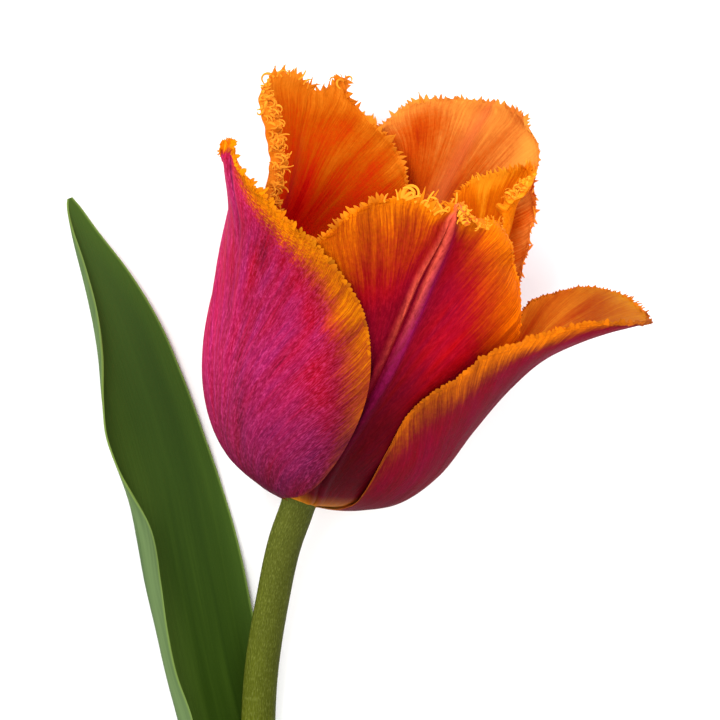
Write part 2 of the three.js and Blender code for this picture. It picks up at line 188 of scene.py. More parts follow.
class Solid:
    """Gathers points, faces and per-point numbers of one piece."""

    def __init__(self, *fields):
        self.points = []
        self.faces = []
        self.fields = {name: [] for name in fields}
        self.count = 0

    def add(self, points, faces, **numbers):
        points = np.asarray(points, float).reshape(-1, 3)
        self.points.append(points)
        self.faces += [[int(k) + self.count for k in face] for face in faces]
        for name, values in self.fields.items():
            values.append(np.broadcast_to(np.ravel(numbers.get(name, 0.0)), (len(points),)))
        self.count += len(points)

    def make(self, name, material, node):
        """The piece, riding on the root body in place of a node."""
        mesh = bpy.data.meshes.new(name)
        mesh.from_pydata((np.vstack(self.points) * MM).tolist(), [], self.faces)
        for field, values in self.fields.items():
            attribute = mesh.attributes.new(field, "FLOAT", "POINT")
            attribute.data.foreach_set("value", np.concatenate(values).astype(np.float32))
        mesh.shade_smooth()
        mesh.set_sharp_from_angle(angle=math.radians(60))
        mesh.materials.append(material)
        piece = new_object(name, mesh)
        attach(piece, "root")
        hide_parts(node)


def grid_faces(rows, columns, start=0, flip=False, closed=False):
    """Quads over a grid of points numbered row by row."""
    faces = []
    for i in range(rows - 1):
        for j in range(columns if closed else columns - 1):
            k = (j + 1) % columns
            a, b = start + i * columns + j, start + i * columns + k
            quad = [a, b, b + columns, a + columns]
            faces.append(quad[::-1] if flip else quad)
    return faces


def add_blade(solid, front, back, **numbers):
    """Adds the closed solid between two grids; numbers are grids, or (front, back) pairs."""
    rows, columns = front.shape[:2]
    size = rows * columns
    faces = grid_faces(rows, columns) + grid_faces(rows, columns, size, flip=True)
    rim = ([(0, j) for j in range(columns)] + [(i, columns - 1) for i in range(1, rows)]
           + [(rows - 1, j) for j in range(columns - 2, -1, -1)] + [(i, 0) for i in range(rows - 2, 0, -1)])
    ring = [i * columns + j for i, j in rim]
    for a, b in zip(ring, ring[1:] + ring[:1]):
        faces.append([b, a, a + size, b + size])
    both = {}
    for name, value in numbers.items():
        pair = value if isinstance(value, tuple) else (value, value)
        both[name] = np.concatenate([np.broadcast_to(v, (rows, columns)).ravel() for v in pair])
    solid.add(np.concatenate([front.reshape(-1, 3), back.reshape(-1, 3)]), faces, **both)


def add_rod(solid, path, radii, sides=12, shape=None, **numbers):
    """Adds a closed rod around a path; numbers are given per path point."""
    path = np.asarray(path, float)
    forward = unit(np.gradient(path, axis=0))
    guide = np.array([1.0, 0, 0]) if abs(forward[0][0]) < 0.9 else np.array([0, 1.0, 0])
    u = unit(guide - forward * (forward @ guide)[:, None])
    v = np.cross(forward, u)
    turns = np.linspace(0, 2 * math.pi, sides, endpoint=False)
    swell = np.ones(sides) if shape is None else shape(turns)
    ring = turned(u[:, None], v[:, None], turns[None, :, None])
    radii = np.broadcast_to(radii, (len(path),))
    points = path[:, None] + ring * (radii[:, None] * swell)[..., None]
    count = len(path)
    faces = grid_faces(count, sides, closed=True)
    foot, top = count * sides, count * sides + 1
    for k in range(sides):
        n = (k + 1) % sides
        faces += [[foot, n, k], [top, (count - 1) * sides + k, (count - 1) * sides + n]]
    spread = {}
    for name, value in numbers.items():
        value = np.broadcast_to(value, (count,))
        spread[name] = np.concatenate([np.repeat(value, sides), value[[0, -1]]])
    spread["turn"] = np.concatenate([np.tile(np.cos(turns) * 1.5, count), [0, 0]])
    solid.add(np.concatenate([points.reshape(-1, 3), path[[0, -1]]]), faces, **spread)


# ---- Tepals: shape ----


def margin(teeth, point, band, fade, width=1.0):
    """One margin: its teeth's length, point and width, its yellow band and how far streaks reach in.

    Lengths are in millimetres, at shares of the margin's way up, or from left to right at the top.
    """
    return dict(teeth=teeth, point=point, band=band, fade=fade, width=width)


# A midrib's height, the shares where it starts and is full, its place across and its width
OUTER_RIB = (0.35, 0.3, 0.8, 0, 0.7)
INNER_RIB = (0.35, 0.1, 0.4, 0, 0.9)
# Band and fade of margins that several tepals share
INNER_EDGE = ([(0, 0.5), (0.5, 2), (1, 4)], [(0, 1), (0.5, 6), (1, 8)])
BACK_EDGE = ([(0, 0.3), (0.5, 1.8), (1, 1.8)], [(0, 3), (1, 4)])
# How warm the inner face is where the cup hides it
CUP_INSIDE = [(0, 0.35), (0.1, 0.05), (0.5, 0.2), (0.8, 0.6), (1, 0.8)]

# The left, midrib and right lines go from base to top, in the coordinates of in_flower(). top says how far
# up the blade reaches from its left to its right margin, flare how far its left margin stands out, and waves
# and flutes how uneven it is.
# dark, red and tint are patches as spots() reads them; dark is partly painted shade, at the foot and beside
# folds and ribs, and partly the tepal's own darker purple. peak and hem say how yellow the margins get, peak
# in the band and hem at the very edge. inside says how warm the inner face is, and up and over how much
# lighter or darker the colours are made, at shares of the way up and at distances across: painted light and
# shade, with some of the tepal's own lighter and darker parts; up_inside and over_inside are the inner
# face's. skins names the colours of the outside and the inside, and seen is the face whose colours the
# fringe takes.
# A roll is a stretch of a margin that curls over: where it starts and ends, its width and its turn in
# degrees, positive to the inside, how ruffled and hairy it is, and how much of the midrib's colour it has;
# on the front tepal that colour is partly a painted highlight.
# Curls are, for each margin, (share, length, turn, lean along the margin, lift off the face, twist).
TEPALS = {
    "outer_tepal_left": dict(
        left=[(*OUTER_BASE, -75), (2.7, 7.4, -79), (5.2, 13.3, -88), (8.8, 17.7, -97), (19, 23.3, -112),
            (33, 24.6, -116), (46, 24.9, -108), (54.5, 26.3, -92), (60, 30, -75), (62.6, 33.4, -64),
            (64.6, 33.8, -62.4)],
        midrib=[(*OUTER_BASE, -50), (4, 10.8, -50), (7.6, 16.2, -51.5), (12, 19.4, -53), (24, 23.6, -54),
            (38, 25.1, -56), (50, 26.6, -60), (58, 30, -62), (66, 33.7, -58.2)],
        right=[(*OUTER_BASE, -25), (3.6, 10.6, -15), (8.9, 18.2, 2), (19, 23.3, 11.4), (34.4, 25.1, 14.2),
            (47.3, 25.4, 3), (54.4, 25.6, -16.5), (57.4, 26.4, -36), (60.2, 28.8, -47.6), (63.6, 32, -54.2),
            (67, 33.6, -54.2)],
        left_margin=margin([(0, 0.2), (0.7, 0.4), (1, 0.5)], 0.2, [(0, 0.3), (1, 1)], [(0, 2), (1, 1)]),
        right_margin=margin([(0, 0.05), (0.4, 0.07), (0.55, 0.14), (0.7, 0.7), (0.85, 0.9), (1, 0.7)], 0.1,
            [(0, 0.2), (0.2, 0.3), (0.3, 0.6), (0.4, 1.3), (0.5, 2), (0.65, 2.4), (0.75, 2.7), (0.85, 2.4),
            (1, 1.2)], [(0, 0.4), (0.2, 1), (0.3, 2.2), (0.36, 4), (0.42, 6.8), (0.65, 7), (0.78, 5.2),
            (0.9, 3), (1, 1)]),
        top_margin=margin([(0, 0.4), (1, 0.5)], 0.5, 2.6, 1.4, 0.8), waves=0.12, flutes=0.2,
        rib=(-0.5, 0.55, 0.9, 0.4, 0.9),
        dark=[(0, 0, 0.18, 30, 0.55), (0.9, 0.2, 0.07, 0.4, 0.8), (0.8, 0.8, 0.06, 0.5, 0.6),
            (0.38, 6.5, 0.1, 0.9, 0.45), (0.52, 4.5, 0.08, 0.8, 0.3), (0.3, 1.5, 0.06, 1.2, 0.35),
            (0.74, 7.5, 0.05, 1.5, 0.35), (0.24, 23, 0.14, 8, 0.6), (0.2, -16, 0.08, 5, 0.35),
            (0.33, 27, 0.05, 3, 0.3)],
        red=[(0.78, -5, 0.12, 3.2, 1), (0.68, -3, 0.08, 4, 0.7), (0.54, 19, 0.12, 3, 0.35),
            (0.7, 7, 0.12, 6, 0.9), (0.72, -10, 0.1, 3, 1), (0.54, 21, 0.14, 4, 0.4),
            (0.6, -13, 0.1, 2.5, 0.9)],
        peak=[(0, 0.4), (0.3, 0.54), (0.4, 0.74), (0.5, 0.79), (0.65, 0.87), (0.75, 0.93), (1, 1)],
        hem=[(0, 0.5), (0.3, 0.6), (0.42, 0.74), (0.5, 0.79), (0.7, 0.92), (1, 1)],
        up=[(0, 0.31), (0.15, 0.36), (0.22, 0.46), (0.29, 0.66), (0.36, 0.78), (0.45, 1), (0.65, 0.93),
            (0.76, 0.9), (0.85, 1.1), (1, 1.3)],
        over=[(-16, 1.55), (-8, 1.4), (-3, 1.25), (2, 1.15), (7, 0.95), (16, 1), (21, 0.9), (26, 0.72),
            (30, 0.76)],
        curls=dict(right=[(0.965, 1, 40, 10, 0, 90), (0.93, 0.8, -40, -10, 0, 90),
            (0.8, 0.7, 30, 0, 10, 90)]),
        skins=("left", "left"), seed=11),
    "inner_tepal_front": dict(
        left=[(*FRONT_BASE, -24), (2.9, 8, -26), (8, 14, -26), (16, 19.8, -36), (27, 22.4, -42),
            (39, 23.2, -42), (48, 23.4, -36), (55.4, 24, -24.4), (60.8, 23, -17.3), (64.8, 22, -8.5),
            (67, 22, 4)],
        midrib=[(*FRONT_BASE, 14), (3.2, 8, 14), (5.8, 12.5, 12), (10.5, 17, 9), (18.9, 21.5, 9.7),
            (26.5, 22.8, 13), (35.7, 23.3, 17.2), (47, 23.6, 20.3), (54.8, 23.8, 21.9), (61.5, 24, 24.5),
            (68.2, 23.2, 27.4)],
        right=[(*FRONT_BASE, 52), (2.7, 8, 54), (9, 15.2, 55), (18, 20.5, 62), (30, 25.5, 72),
            (42, 28.6, 77.2), (46.4, 28, 77.4), (52.3, 27, 75.5), (57.6, 25, 67.2), (61.4, 25, 60.3),
            (65, 23.4, 53.8)],
        top=[(-1, 1), (-0.5, 0.985), (-0.14, 0.972), (-0.04, 1), (0.04, 1), (0.16, 0.978), (0.5, 0.98),
            (1, 1)],
        left_margin=margin([(0, 0.1), (0.4, 0.3), (0.6, 0.6), (0.7, 1), (1, 1.1)], 0.25, [(0, 0.2),
            (0.45, 0.5), (0.6, 1), (1, 1.2)], [(0, 0.6), (0.3, 2), (0.5, 6), (0.65, 12), (0.85, 21),
            (1, 20)], 0.9),
        right_margin=margin([(0, 0.1), (0.8, 0.2), (0.93, 0.3), (1, 0.8)], 0.3, [(0, 0.2), (0.3, 0.5),
            (0.5, 1), (1, 1.2)], [(0, 0.6), (0.2, 1.5), (0.4, 5.5), (0.55, 10.5), (0.7, 17.5), (0.85, 17),
            (1, 16)]),
        top_margin=margin([(0, 1.3), (0.05, 2), (0.15, 1.2), (0.22, 1.8), (0.28, 2.9), (0.36, 2.9),
            (0.42, 1.8), (0.5, 1.2), (1, 0.9)], 0.95, 1, [(0, 10), (0.4, 6), (0.6, 6), (1, 10)], 1.1),
        waves=0.3, flutes=0.1,
        dark=[(0.3, -3, 0.16, 1.4, 0.5), (0.5, -2.6, 0.2, 0.9, 0.35), (0.75, 0.1, 0.22, 0.25, 0.6)],
        red=[(0.65, 9, 0.2, 5, 1)],
        peak=[(0, 0.7), (0.6, 0.92), (0.75, 0.86), (0.85, 0.82), (0.93, 0.92), (1, 1)],
        hem=[(0, 0.9), (1, 0.94)],
        up=[(0, 1), (0.1, 0.85), (0.17, 0.5), (0.24, 0.32), (0.38, 0.3), (0.46, 0.34), (0.55, 0.56),
            (0.65, 0.92), (0.75, 0.95), (0.85, 0.89), (0.95, 0.92), (1, 0.95)],
        over=[(-14, 0.9), (-6, 0.97), (5, 0.95), (9, 1.2), (18, 1.24), (24, 1.5)],
        rolls=[dict(margin="top", start=0.5, end=0.8, width=2.2, turn=-140, ruffle=0.15, hairs=1.3,
            blush=1.3)],
        curls=dict(left=[(0.955, 2.2, 30, -10, 10, 90), (0.985, 1.9, -20, 5, 0, 90)],
            top=[(0.03, 5.4, 215, -45, 10, 80), (0.09, 4.8, -220, 40, 15, 80), (0.06, 3.2, 120, 10, 20, 60),
            (0.11, 2.6, -60, 50, 10, 60), (0.17, 2.2, -120, 50, 20, 60), (0.22, 2.4, 60, 0, 10, 40),
            (0.25, 3.2, 20, -10, 10, 90), (0.27, 4.6, 200, -10, 10, 80), (0.3, 4, -180, 20, 15, 70),
            (0.33, 3.6, 150, 0, 15, 80), (0.36, 3, 90, 30, 10, 90), (0.39, 2.4, 30, 35, -10, 90),
            (0.41, 2.8, -25, 52, -10, 90), (0.43, 1.8, 90, 60, -10, 90), (0.455, 1.4, -120, 50, -10, 90),
            (0.5, 0.8, -30, -20, -20, 90)]),
        skins=("front", "left"), seed=23),
    "outer_tepal_right": dict(
        left=[(*OUTER_BASE, 42), (3.4, 10.2, 43), (11.5, 18.9, 33), (22.3, 23.3, 30.4), (29.6, 24.7, 31.7),
            (33.5, 26, 35.4), (37.8, 27.5, 43.2), (42.3, 28.8, 50.3), (46.2, 31.7, 59.3), (49.2, 35.6, 68.2),
            (52.3, 41, 72.9), (52.9, 47.3, 80)],
        midrib=[(*OUTER_BASE, 70), (1.6, 7.8, 70), (4.2, 12.8, 70), (7.7, 17.9, 71), (13.8, 22.1, 76),
            (24, 25.5, 79), (33.8, 29.2, 79), (41, 33.1, 79), (46.4, 38.1, 79), (50.2, 43.2, 81),
            (52.1, 48, 85)],
        right=[(*OUTER_BASE, 95), (3, 10.7, 100), (10, 17.8, 102), (20, 23, 102), (32, 25.8, 104),
            (40, 28, 108), (44.1, 29.8, 110.3), (47.6, 33.8, 107), (49.9, 38, 105.4), (51.5, 43, 100),
            (51.5, 48, 91)],
        left_margin=margin([(0, 0.05), (0.4, 0.07), (0.52, 0.4), (0.75, 0.65), (1, 0.5)], 0.1, [(0, 0.3),
            (0.25, 0.5), (0.35, 1.2), (0.45, 2.4), (0.6, 2.3), (0.8, 1.4), (1, 0.9)], [(0, 0.4), (0.2, 0.8),
            (0.35, 5), (0.5, 7), (0.65, 5.2), (0.8, 2.8), (1, 1)], 1.1),
        right_margin=margin([(0, 0.1), (0.5, 0.3), (0.8, 0.45), (0.92, 0.7), (1, 0.8)], 0.85, [(0, 0.2),
            (1, 1.2)], 2, 0.9),
        top_margin=margin([(0, 0.6), (1, 0.8)], 0.8, 0.6, 1, 0.7),
        inside=[(0, 0.2), (0.4, 0.3), (0.6, 0.5), (0.68, 0.58), (0.78, 0.5), (0.85, 0.6), (0.95, 0.85),
            (1, 0.9)],
        waves=0.2, flutes=0.15, rib=OUTER_RIB,
        dark=[(0, 0, 0.1, 30, 0.4), (0.6, -3, 0.2, 3, 0.35), (0.62, 1.5, 0.18, 2.2, 0.45),
            (1, 0, 0.03, 8, 0.8)],
        red=[(0.5, -13, 0.2, 3, 0.8)],
        peak=[(0, 0.3), (0.25, 0.32), (0.35, 0.45), (0.45, 0.6), (0.6, 0.75), (0.75, 0.92), (1, 0.92)],
        hem=[(0, 0.7), (0.4, 0.75), (0.7, 0.9), (1, 1)],
        up=[(0, 1.3), (0.1, 0.75), (0.2, 0.7), (0.35, 0.95), (0.5, 1), (0.7, 1.15), (0.8, 1.32), (1, 1.25)],
        over=[(-24, 0.8), (-20, 1), (-10, 0.95), (-3, 0.85), (3, 1)],
        up_inside=[(0, 1), (0.6, 1.7), (0.7, 1.3), (0.78, 0.88), (1, 0.85)],
        curls=dict(right=[(0.97, 1.4, 70, 20, 10, 90), (0.94, 1.2, 60, 30, 10, 90)],
            top=[(0.8, 1.6, 80, 10, 20, 90)]),
        skins=("right", "right"), seed=37),
    "inner_tepal_back_right": dict(
        left=[(*INNER_BASE, 96), (3.4, 8, 93), (9, 15.2, 93), (18, 20.6, 88), (30, 22.5, 85), (40, 22.3, 88),
            (50, 21, 95), (57, 20, 103), (61.2, 20.3, 107.5), (64.7, 21.4, 103), (68.2, 22.6, 99)],
        midrib=[(*INNER_BASE, 130), (5.8, 12.5, 129), (16, 20.2, 127), (28, 22.6, 125), (40, 23, 124),
            (52, 23, 123), (60, 23, 121), (67.4, 23, 116)],
        right=[(*INNER_BASE, 164), (3.4, 8, 166), (9, 15.2, 160), (18, 20.6, 162), (30, 22.3, 162),
            (42, 22.2, 160), (50, 22, 157), (55, 22, 152), (58.6, 22.4, 148.5)],
        left_margin=margin([(0, 0.2), (0.5, 0.5), (1, 0.9)], 0.8, *INNER_EDGE),
        right_margin=margin([(0, 0.2), (0.5, 0.6), (1, 0.9)], 0.8, *INNER_EDGE),
        top_margin=margin(0.9, 0.8, 4, 8), inside=[(0, 0.2), (0.5, 0.4), (0.8, 0.54), (1, 0.84)],
        waves=0.35, flutes=0.3, dark=[(0.08, 0, 0.16, 30, 0.7)],
        rolls=[dict(margin="left", start=0.82, end=1, width=2.3, turn=120, ruffle=0.08, hairs=1.2),
            dict(margin="left", start=0.75, end=0.82, width=3, turn=150, ruffle=0.4, hairs=4)],
        curls=dict(top=[(0.55, 1.8, 20, 0, 0, 90), (0.9, 1.2, 40, 0, 10, 90)]), seen="inside",
        skins=("front", "yellow"), seed=41),
    "outer_tepal_back": dict(
        left=[(*OUTER_BASE, 165), (3, 11, 152), (10, 19, 134), (20, 23.3, 122), (31.5, 23.6, 114),
            (40.9, 22.8, 110.7), (48.3, 22.5, 110.1), (55.4, 22.5, 110.4), (63.5, 22.9, 113.1),
            (70, 24.3, 118), (73.8, 24.8, 132)],
        flare=[(0, 0), (0.25, 0.8), (0.42, 2.7), (0.55, 4.2), (0.65, 4.8), (0.78, 4), (0.88, 1.7),
            (0.95, 0), (1, 0)],
        midrib=[(*OUTER_BASE, 190), (4, 13, 186), (12, 20.6, 180), (24, 24.3, 174), (38, 25, 167),
            (50, 24.8, 162), (60, 25, 158), (67, 25.6, 155), (72.3, 26.3, 153)],
        right=[(*OUTER_BASE, 215), (3, 11, 222), (10, 19, 232), (20, 23.5, 238), (32, 25, 238),
            (44, 25.3, 230), (53, 25.4, 216), (58.3, 25.2, 205), (61.4, 25.1, 194.4), (65, 25.5, 188.5),
            (67.4, 25.7, 184)],
        left_margin=margin([(0, 0.2), (0.5, 0.6), (0.75, 0.9), (1, 0.7)], 0.9, *BACK_EDGE),
        right_margin=margin([(0, 0.2), (0.5, 0.6), (1, 0.8)], 0.9, *BACK_EDGE),
        top_margin=margin([(0, 0.6), (0.5, 0.8), (1, 0.8)], 0.8, 1, 4, 1.2),
        inside=[(0, 0.35), (0.1, 0.2), (0.3, 0.3), (0.65, 0.22), (0.72, 0.28), (0.79, 0.46), (0.86, 0.6),
            (1, 0.72)],
        waves=0.25, flutes=0.35, rib=OUTER_RIB, dark=[(0.05, 0, 0.14, 30, 0.6)],
        over_inside=[(-30, 1.4), (-22, 1.3), (-17, 1.1), (-8, 1), (6, 0.95), (14, 1)],
        tint=[(0.88, -14, 0.14, 4, 0.3), (0.8, 10, 0.2, 4, -0.22), (0.9, 15, 0.1, 4, -0.1),
            (0.92, -4, 0.08, 4, 0.16), (0.66, -17, 0.1, 5, -0.25), (0.72, 2, 0.08, 5, -0.16)],
        curls=dict(top=[(0.93, 2, 10, 0, 0, 90), (0.9, 1.2, 30, 20, 0, 90)],
            left=[(0.8, 1.8, -10, -60, 0, 90)]),
        seen="inside", skins=("left", "back"), seed=53),
    "inner_tepal_back_left": dict(
        left=[(*INNER_BASE, 216), (3.4, 8, 213), (9, 15.2, 208), (18, 20.6, 192), (30, 22.2, 180),
            (42, 21.6, 173), (48, 21, 170.5), (53.3, 21, 171.8), (57.9, 22, 179.3), (61.9, 23, 191.5),
            (64.2, 24, 201.8), (66.6, 24.5, 209), (69.6, 25.3, 212)],
        midrib=[(*INNER_BASE, 250), (5.8, 12.5, 248), (16, 20.2, 244), (30, 22.2, 240), (40, 21.8, 236),
            (48.9, 21.3, 234), (61.2, 24, 229.6), (69.9, 25, 229)],
        right=[(*INNER_BASE, 284), (3.4, 8, 287), (9, 15.2, 285), (18, 20.6, 288), (30, 22.2, 284),
            (42, 21.3, 272), (50, 20.7, 265), (56, 22.2, 260), (62, 25.2, 257), (66, 28.2, 255),
            (70.4, 28.3, 247)],
        top=[(-1, 1), (-0.8, 1), (-0.62, 0.985), (-0.45, 0.968), (-0.1, 0.96), (0.2, 0.982), (0.55, 1),
            (1, 0.99)],
        left_margin=margin([(0, 0.2), (0.5, 0.5), (0.72, 0.6), (0.85, 1.2), (1, 1.3)], 0.95, *INNER_EDGE,
            1.3),
        right_margin=margin([(0, 0.2), (0.5, 0.6), (1, 0.9)], 0.8, *INNER_EDGE),
        top_margin=margin([(0, 1.2), (0.3, 1), (0.5, 1.2), (1, 1.4)], 0.9, 4, 8, 1.1),
        inside=[(0, 0.35), (0.1, 0.03), (0.45, 0.04), (0.55, 0.07), (0.65, 0.15), (0.72, 0.26), (0.78, 0.4),
            (0.85, 0.48), (0.95, 0.66), (1, 0.72)],
        waves=0.25, flutes=0.25, dark=[(0.08, 0, 0.16, 30, 0.7)],
        tint=[(0.62, -18, 0.14, 8, 0.3), (0.6, -3, 0.14, 4, -0.15), (0.78, -12, 0.1, 6, 0.12)],
        rolls=[dict(margin="right", start=0.5, end=0.98, width=3.4, turn=160, ruffle=0.35, hairs=2.6)],
        curls=dict(top=[(0.72, 2.2, 60, -30, 0, 90), (0.66, 1.8, -60, 10, 0, 90), (0.8, 1.6, 100, 0, 10, 90),
            (0.6, 1.8, 40, 20, 10, 60), (0.97, 3.6, 200, 30, 30, 40), (0.92, 3, -160, -20, 40, 70),
            (0.87, 2.6, 140, 20, 20, 50), (0.08, 3.4, 170, 20, 50, 40), (0.04, 2.8, -150, -30, 30, 60),
            (0.13, 2.4, 120, 30, 40, 30)]),
        seen="inside", skins=("front", "deep"), seed=67),
}


class Blade:
    """A tepal's middle surface as a grid, with the distances its shape and colour follow."""

    def __init__(self, spec):
        self.spec = spec
        rise = np.linspace(0, 1, TEPAL_ROWS)
        rise = rise * (1.35 - 0.35 * rise)                  # closer rows towards the top
        side = np.linspace(-1, 1, TEPAL_COLUMNS)
        self.side = side - 0.1 * np.sin(2 * math.pi * side)  # closer columns at rib and margins
        self.share = np.broadcast_to(rise[:, None], (TEPAL_ROWS, TEPAL_COLUMNS))
        self.lay_out()
        whole = self.veins()                                # before the top is cut and made uneven
        cut = 1 - profile(spec.get("top", 1), self.side)
        self.share = rise[:, None] - cut[None] * rise[:, None] ** 8      # the cut hardly moves lower rows
        self.lay_out()
        self.vein, self.level = (
            np.array([np.interp(shares, rise, grid) for shares, grid in zip(self.share.T, field.T)]).T
            for field in whole)

    def lay_out(self):
        """Spans the surface between the three lines."""
        spec = self.spec
        left, middle, right = (along_line(spec[name], self.share.ravel()).reshape(*self.share.shape, 3)
                               for name in ("left", "midrib", "right"))
        u = self.side[None, :, None]
        spots = middle + (right - left) / 2 * u + ((left + right) / 2 - middle) * u * u
        flare = profile(spec.get("flare", 0), self.share)
        spots[..., 1] += flare * smooth(-0.7, -1.0, u[..., 0])
        self.points = in_flower(spots)
        self.measure()

    def veins(self):
        """Each point's place across the fan of veins, and how wide a vein is there in halvings."""
        spread = np.exp(-VEIN_SPREAD * self.along[:, MIDRIB_COLUMN:MIDRIB_COLUMN + 1])
        vein = np.arcsinh(self.across * spread / VEIN_CORE)
        steps = np.gradient(vein, axis=1) / np.maximum(np.gradient(self.across, axis=1), 0.01)
        return vein, -np.log2(np.maximum(steps, 0.002))

    def measure(self):
        """Distances along the surface from the midrib, the base and the margins, and the outward normal."""
        reach = walked(self.points, axis=1)
        self.across = reach - reach[:, MIDRIB_COLUMN:MIDRIB_COLUMN + 1]
        self.from_left, self.from_right = reach, reach[:, -1:] - reach
        self.along = walked(self.points)
        self.from_top = self.along[-1:] - self.along
        parts = np.stack([self.from_left, self.from_right, self.from_top])
        self.edge = np.maximum(-np.log(np.exp(-parts / CORNER_ROUNDING).sum(0)) * CORNER_ROUNDING, 0)
        self.edge = np.minimum(self.edge, parts.min(0))
        self.out = surface_normals(self.points)


def front_gap(share):
    """Half the distance between the two ribs down the front tepal."""
    return profile([(0, 0.4), (0.4, 0.9), (0.6, 1.15), (0.85, 1.1), (0.95, 0.6), (1, 0.25)], share)


# Distances from crest to crest, the flutes' across the fan of veins and the others' in millimetres
FLUTE_SPACING = 1.1
WAVE_SPACING = 11.0
CRINKLE_SPACING = 2.2
CRINKLE_HEIGHT = 0.16
WAVE_REACH = 7.0             # how far in from the margins the waves go
CRINKLE_REACH = 2.5
GROOVE_DEPTH = 0.35          # beside the front tepal's ribs, as a share of their height


def relief(name, blade):
    """Ribs, flutes and waves, as a height over the smooth surface."""
    spec = blade.spec
    x, y, share = blade.across, blade.along, blade.share
    flutes = Wobble(spec["seed"], FLUTE_SPACING)(blade.vein) * spec["flutes"] * smooth(0.1, 0.5, share)
    near = smooth(WAVE_REACH, 0.0, blade.edge) * smooth(0.25, 0.6, share)
    waves = Wobble(spec["seed"] + 1, WAVE_SPACING)(y + x * 0.4) * spec["waves"] * near
    crinkle = Wobble(spec["seed"] + 2, CRINKLE_SPACING)(y - x * 0.7) * CRINKLE_HEIGHT
    crinkle = crinkle * smooth(CRINKLE_REACH, 0.0, blade.edge) * near
    height = flutes * smooth(0.5, 2.5, np.abs(x)) + waves + crinkle
    if name == "inner_tepal_front":
        # Two ribs, the right one stronger, with a groove between them and one on each side
        gap = front_gap(share)
        tall = profile([(0, 0), (0.12, 0.25), (0.4, 0.45), (0.6, 0.7), (0.85, 0.85), (0.97, 0.7), (1, 0.5)],
                       share)
        height = height + tall * (bump_at(x, gap + 0.1, 0.56) + bump_at(x, -gap, 0.5) * 0.9)
        grooves = bump_at(x, 3.4, 1.3) + bump_at(x, -3.2, 1.1) + bump_at(x, 0, 0.3)
        height = height - GROOVE_DEPTH * tall * grooves
    else:
        rib, low, high, centre, width = spec.get("rib", INNER_RIB)
        height = height + rib * smooth(low, high, share) * bump_at(x, centre, width)
    return height


# ---- Tepals: fringe ----

TOOTH_OUTLINE = np.array([(-1, 0), (-0.55, 1), (0.55, 1), (1, 0), (0.55, -1), (-0.55, -1)])
TOOTH_ROOT = 0.6             # how far a tooth starts inside the margin
TOOTH_STEPS = 5
CURL_STEPS = 15
ROLL_STEPS = 13
ROLL_ROOT = 0.3              # how far a roll starts inside the margin
ROLL_SPACING = 0.3           # between its rows
RUFFLE_SPACING = 1.6
CLUMP_SPACING = 3.0          # between tufts of longer teeth
LEAST_TOOTH = 0.08           # shorter ones are left out
LEAST_TOOTH_WIDTH = 0.05
FRINGE_HEIGHT = 59.4         # above this the fringe leans over
FRINGE_DROOP = 0.4           # and this share of its further rise is left
FRINGE_WARMTH = 0.85         # teeth are at least this yellow
ROWS_INWARD = 3              # from here to the margin is the way its teeth point
COLUMNS_INWARD = 6
NOWHERE = (2, 2)             # shares that no margin has


def add_ribbon(solid, path, sideways, width, thickness, tips, numbers):
    """A flat tapering ribbon along a path; tips is how far along its tip colour starts."""
    steps, sides = len(path), len(TOOTH_OUTLINE)
    forward = unit(np.gradient(path, axis=0))
    side = unit(sideways - forward * (forward * sideways).sum(1, keepdims=True))
    over = np.cross(side, forward)
    points = (path[:, None] + side[:, None] * (width[:, None] * TOOTH_OUTLINE[:, 0] / 2)[..., None]
              + over[:, None] * (thickness[:, None] * TOOTH_OUTLINE[:, 1] / 2)[..., None])
    last = sides * (steps - 1)
    faces = [face[::-1] for face in grid_faces(steps, sides, closed=True)]
    faces += [list(range(sides)), list(range(last, last + sides))[::-1]]
    values = {name: np.full(sides * steps, value) for name, value in numbers.items()}
    values["tooth"] = np.repeat(tips, sides)
    solid.add(points.reshape(-1, 3), faces, **values)


def add_tooth(solid, root, out, normal, along, length, width, bend, pointed, numbers):
    """One flat tapering tooth that leaves root towards out, bent by bend radians on its way."""
    t = np.linspace(0, 1, TOOTH_STEPS + 1)[:, None]
    heading = turned(out, along, bend[0] * t) + normal * np.sin(bend[1] * t)
    path = root + np.concatenate([np.zeros((1, 3)), np.cumsum(heading[1:] * length / TOOTH_STEPS, axis=0)])
    t = t[:, 0]
    taper = np.sqrt(1 - t**2) * (1 - pointed) + (1 - t) ** 0.9 * pointed
    thickness = MARGIN_THICKNESS * (1 - 0.6 * t) * (0.25 + 0.75 * smooth(0, 0.2, t))
    add_ribbon(solid, path, along[None], np.maximum(width * taper, LEAST_TOOTH_WIDTH), thickness,
               0.35 * t * min(1.0, length), numbers)


def add_curl(solid, root, out, normal, along, curl, numbers, pale=0.6):
    """A fringe hair that winds up on its way; pale is how light it starts."""
    length, turn, lean, lift, twist = curl[0], *np.radians(curl[1:])
    t = np.linspace(0, 1, CURL_STEPS + 1)[:, None]
    start = unit(turned(out, along, lean) + normal * math.sin(lift))
    across = turned(normal, along, twist)
    across = unit(across - start * (start @ across))
    heading = turned(start, across, turn * t**1.3)
    path = root + np.cumsum(heading * length / CURL_STEPS, axis=0) - heading[:1] * length / CURL_STEPS
    path = path + np.cross(start, across) * 0.5 * t * min(1.0, abs(turn) / 3)
    t = t[:, 0]
    width, thickness = 0.46 + 0.05 * length, 0.16 + 0.1 * length
    add_ribbon(solid, path, np.cross(start, across)[None], width * (1 - t) ** 0.6 + 0.1,
               thickness * (1 - 0.6 * t), pale + (1 - pale) * t, numbers)


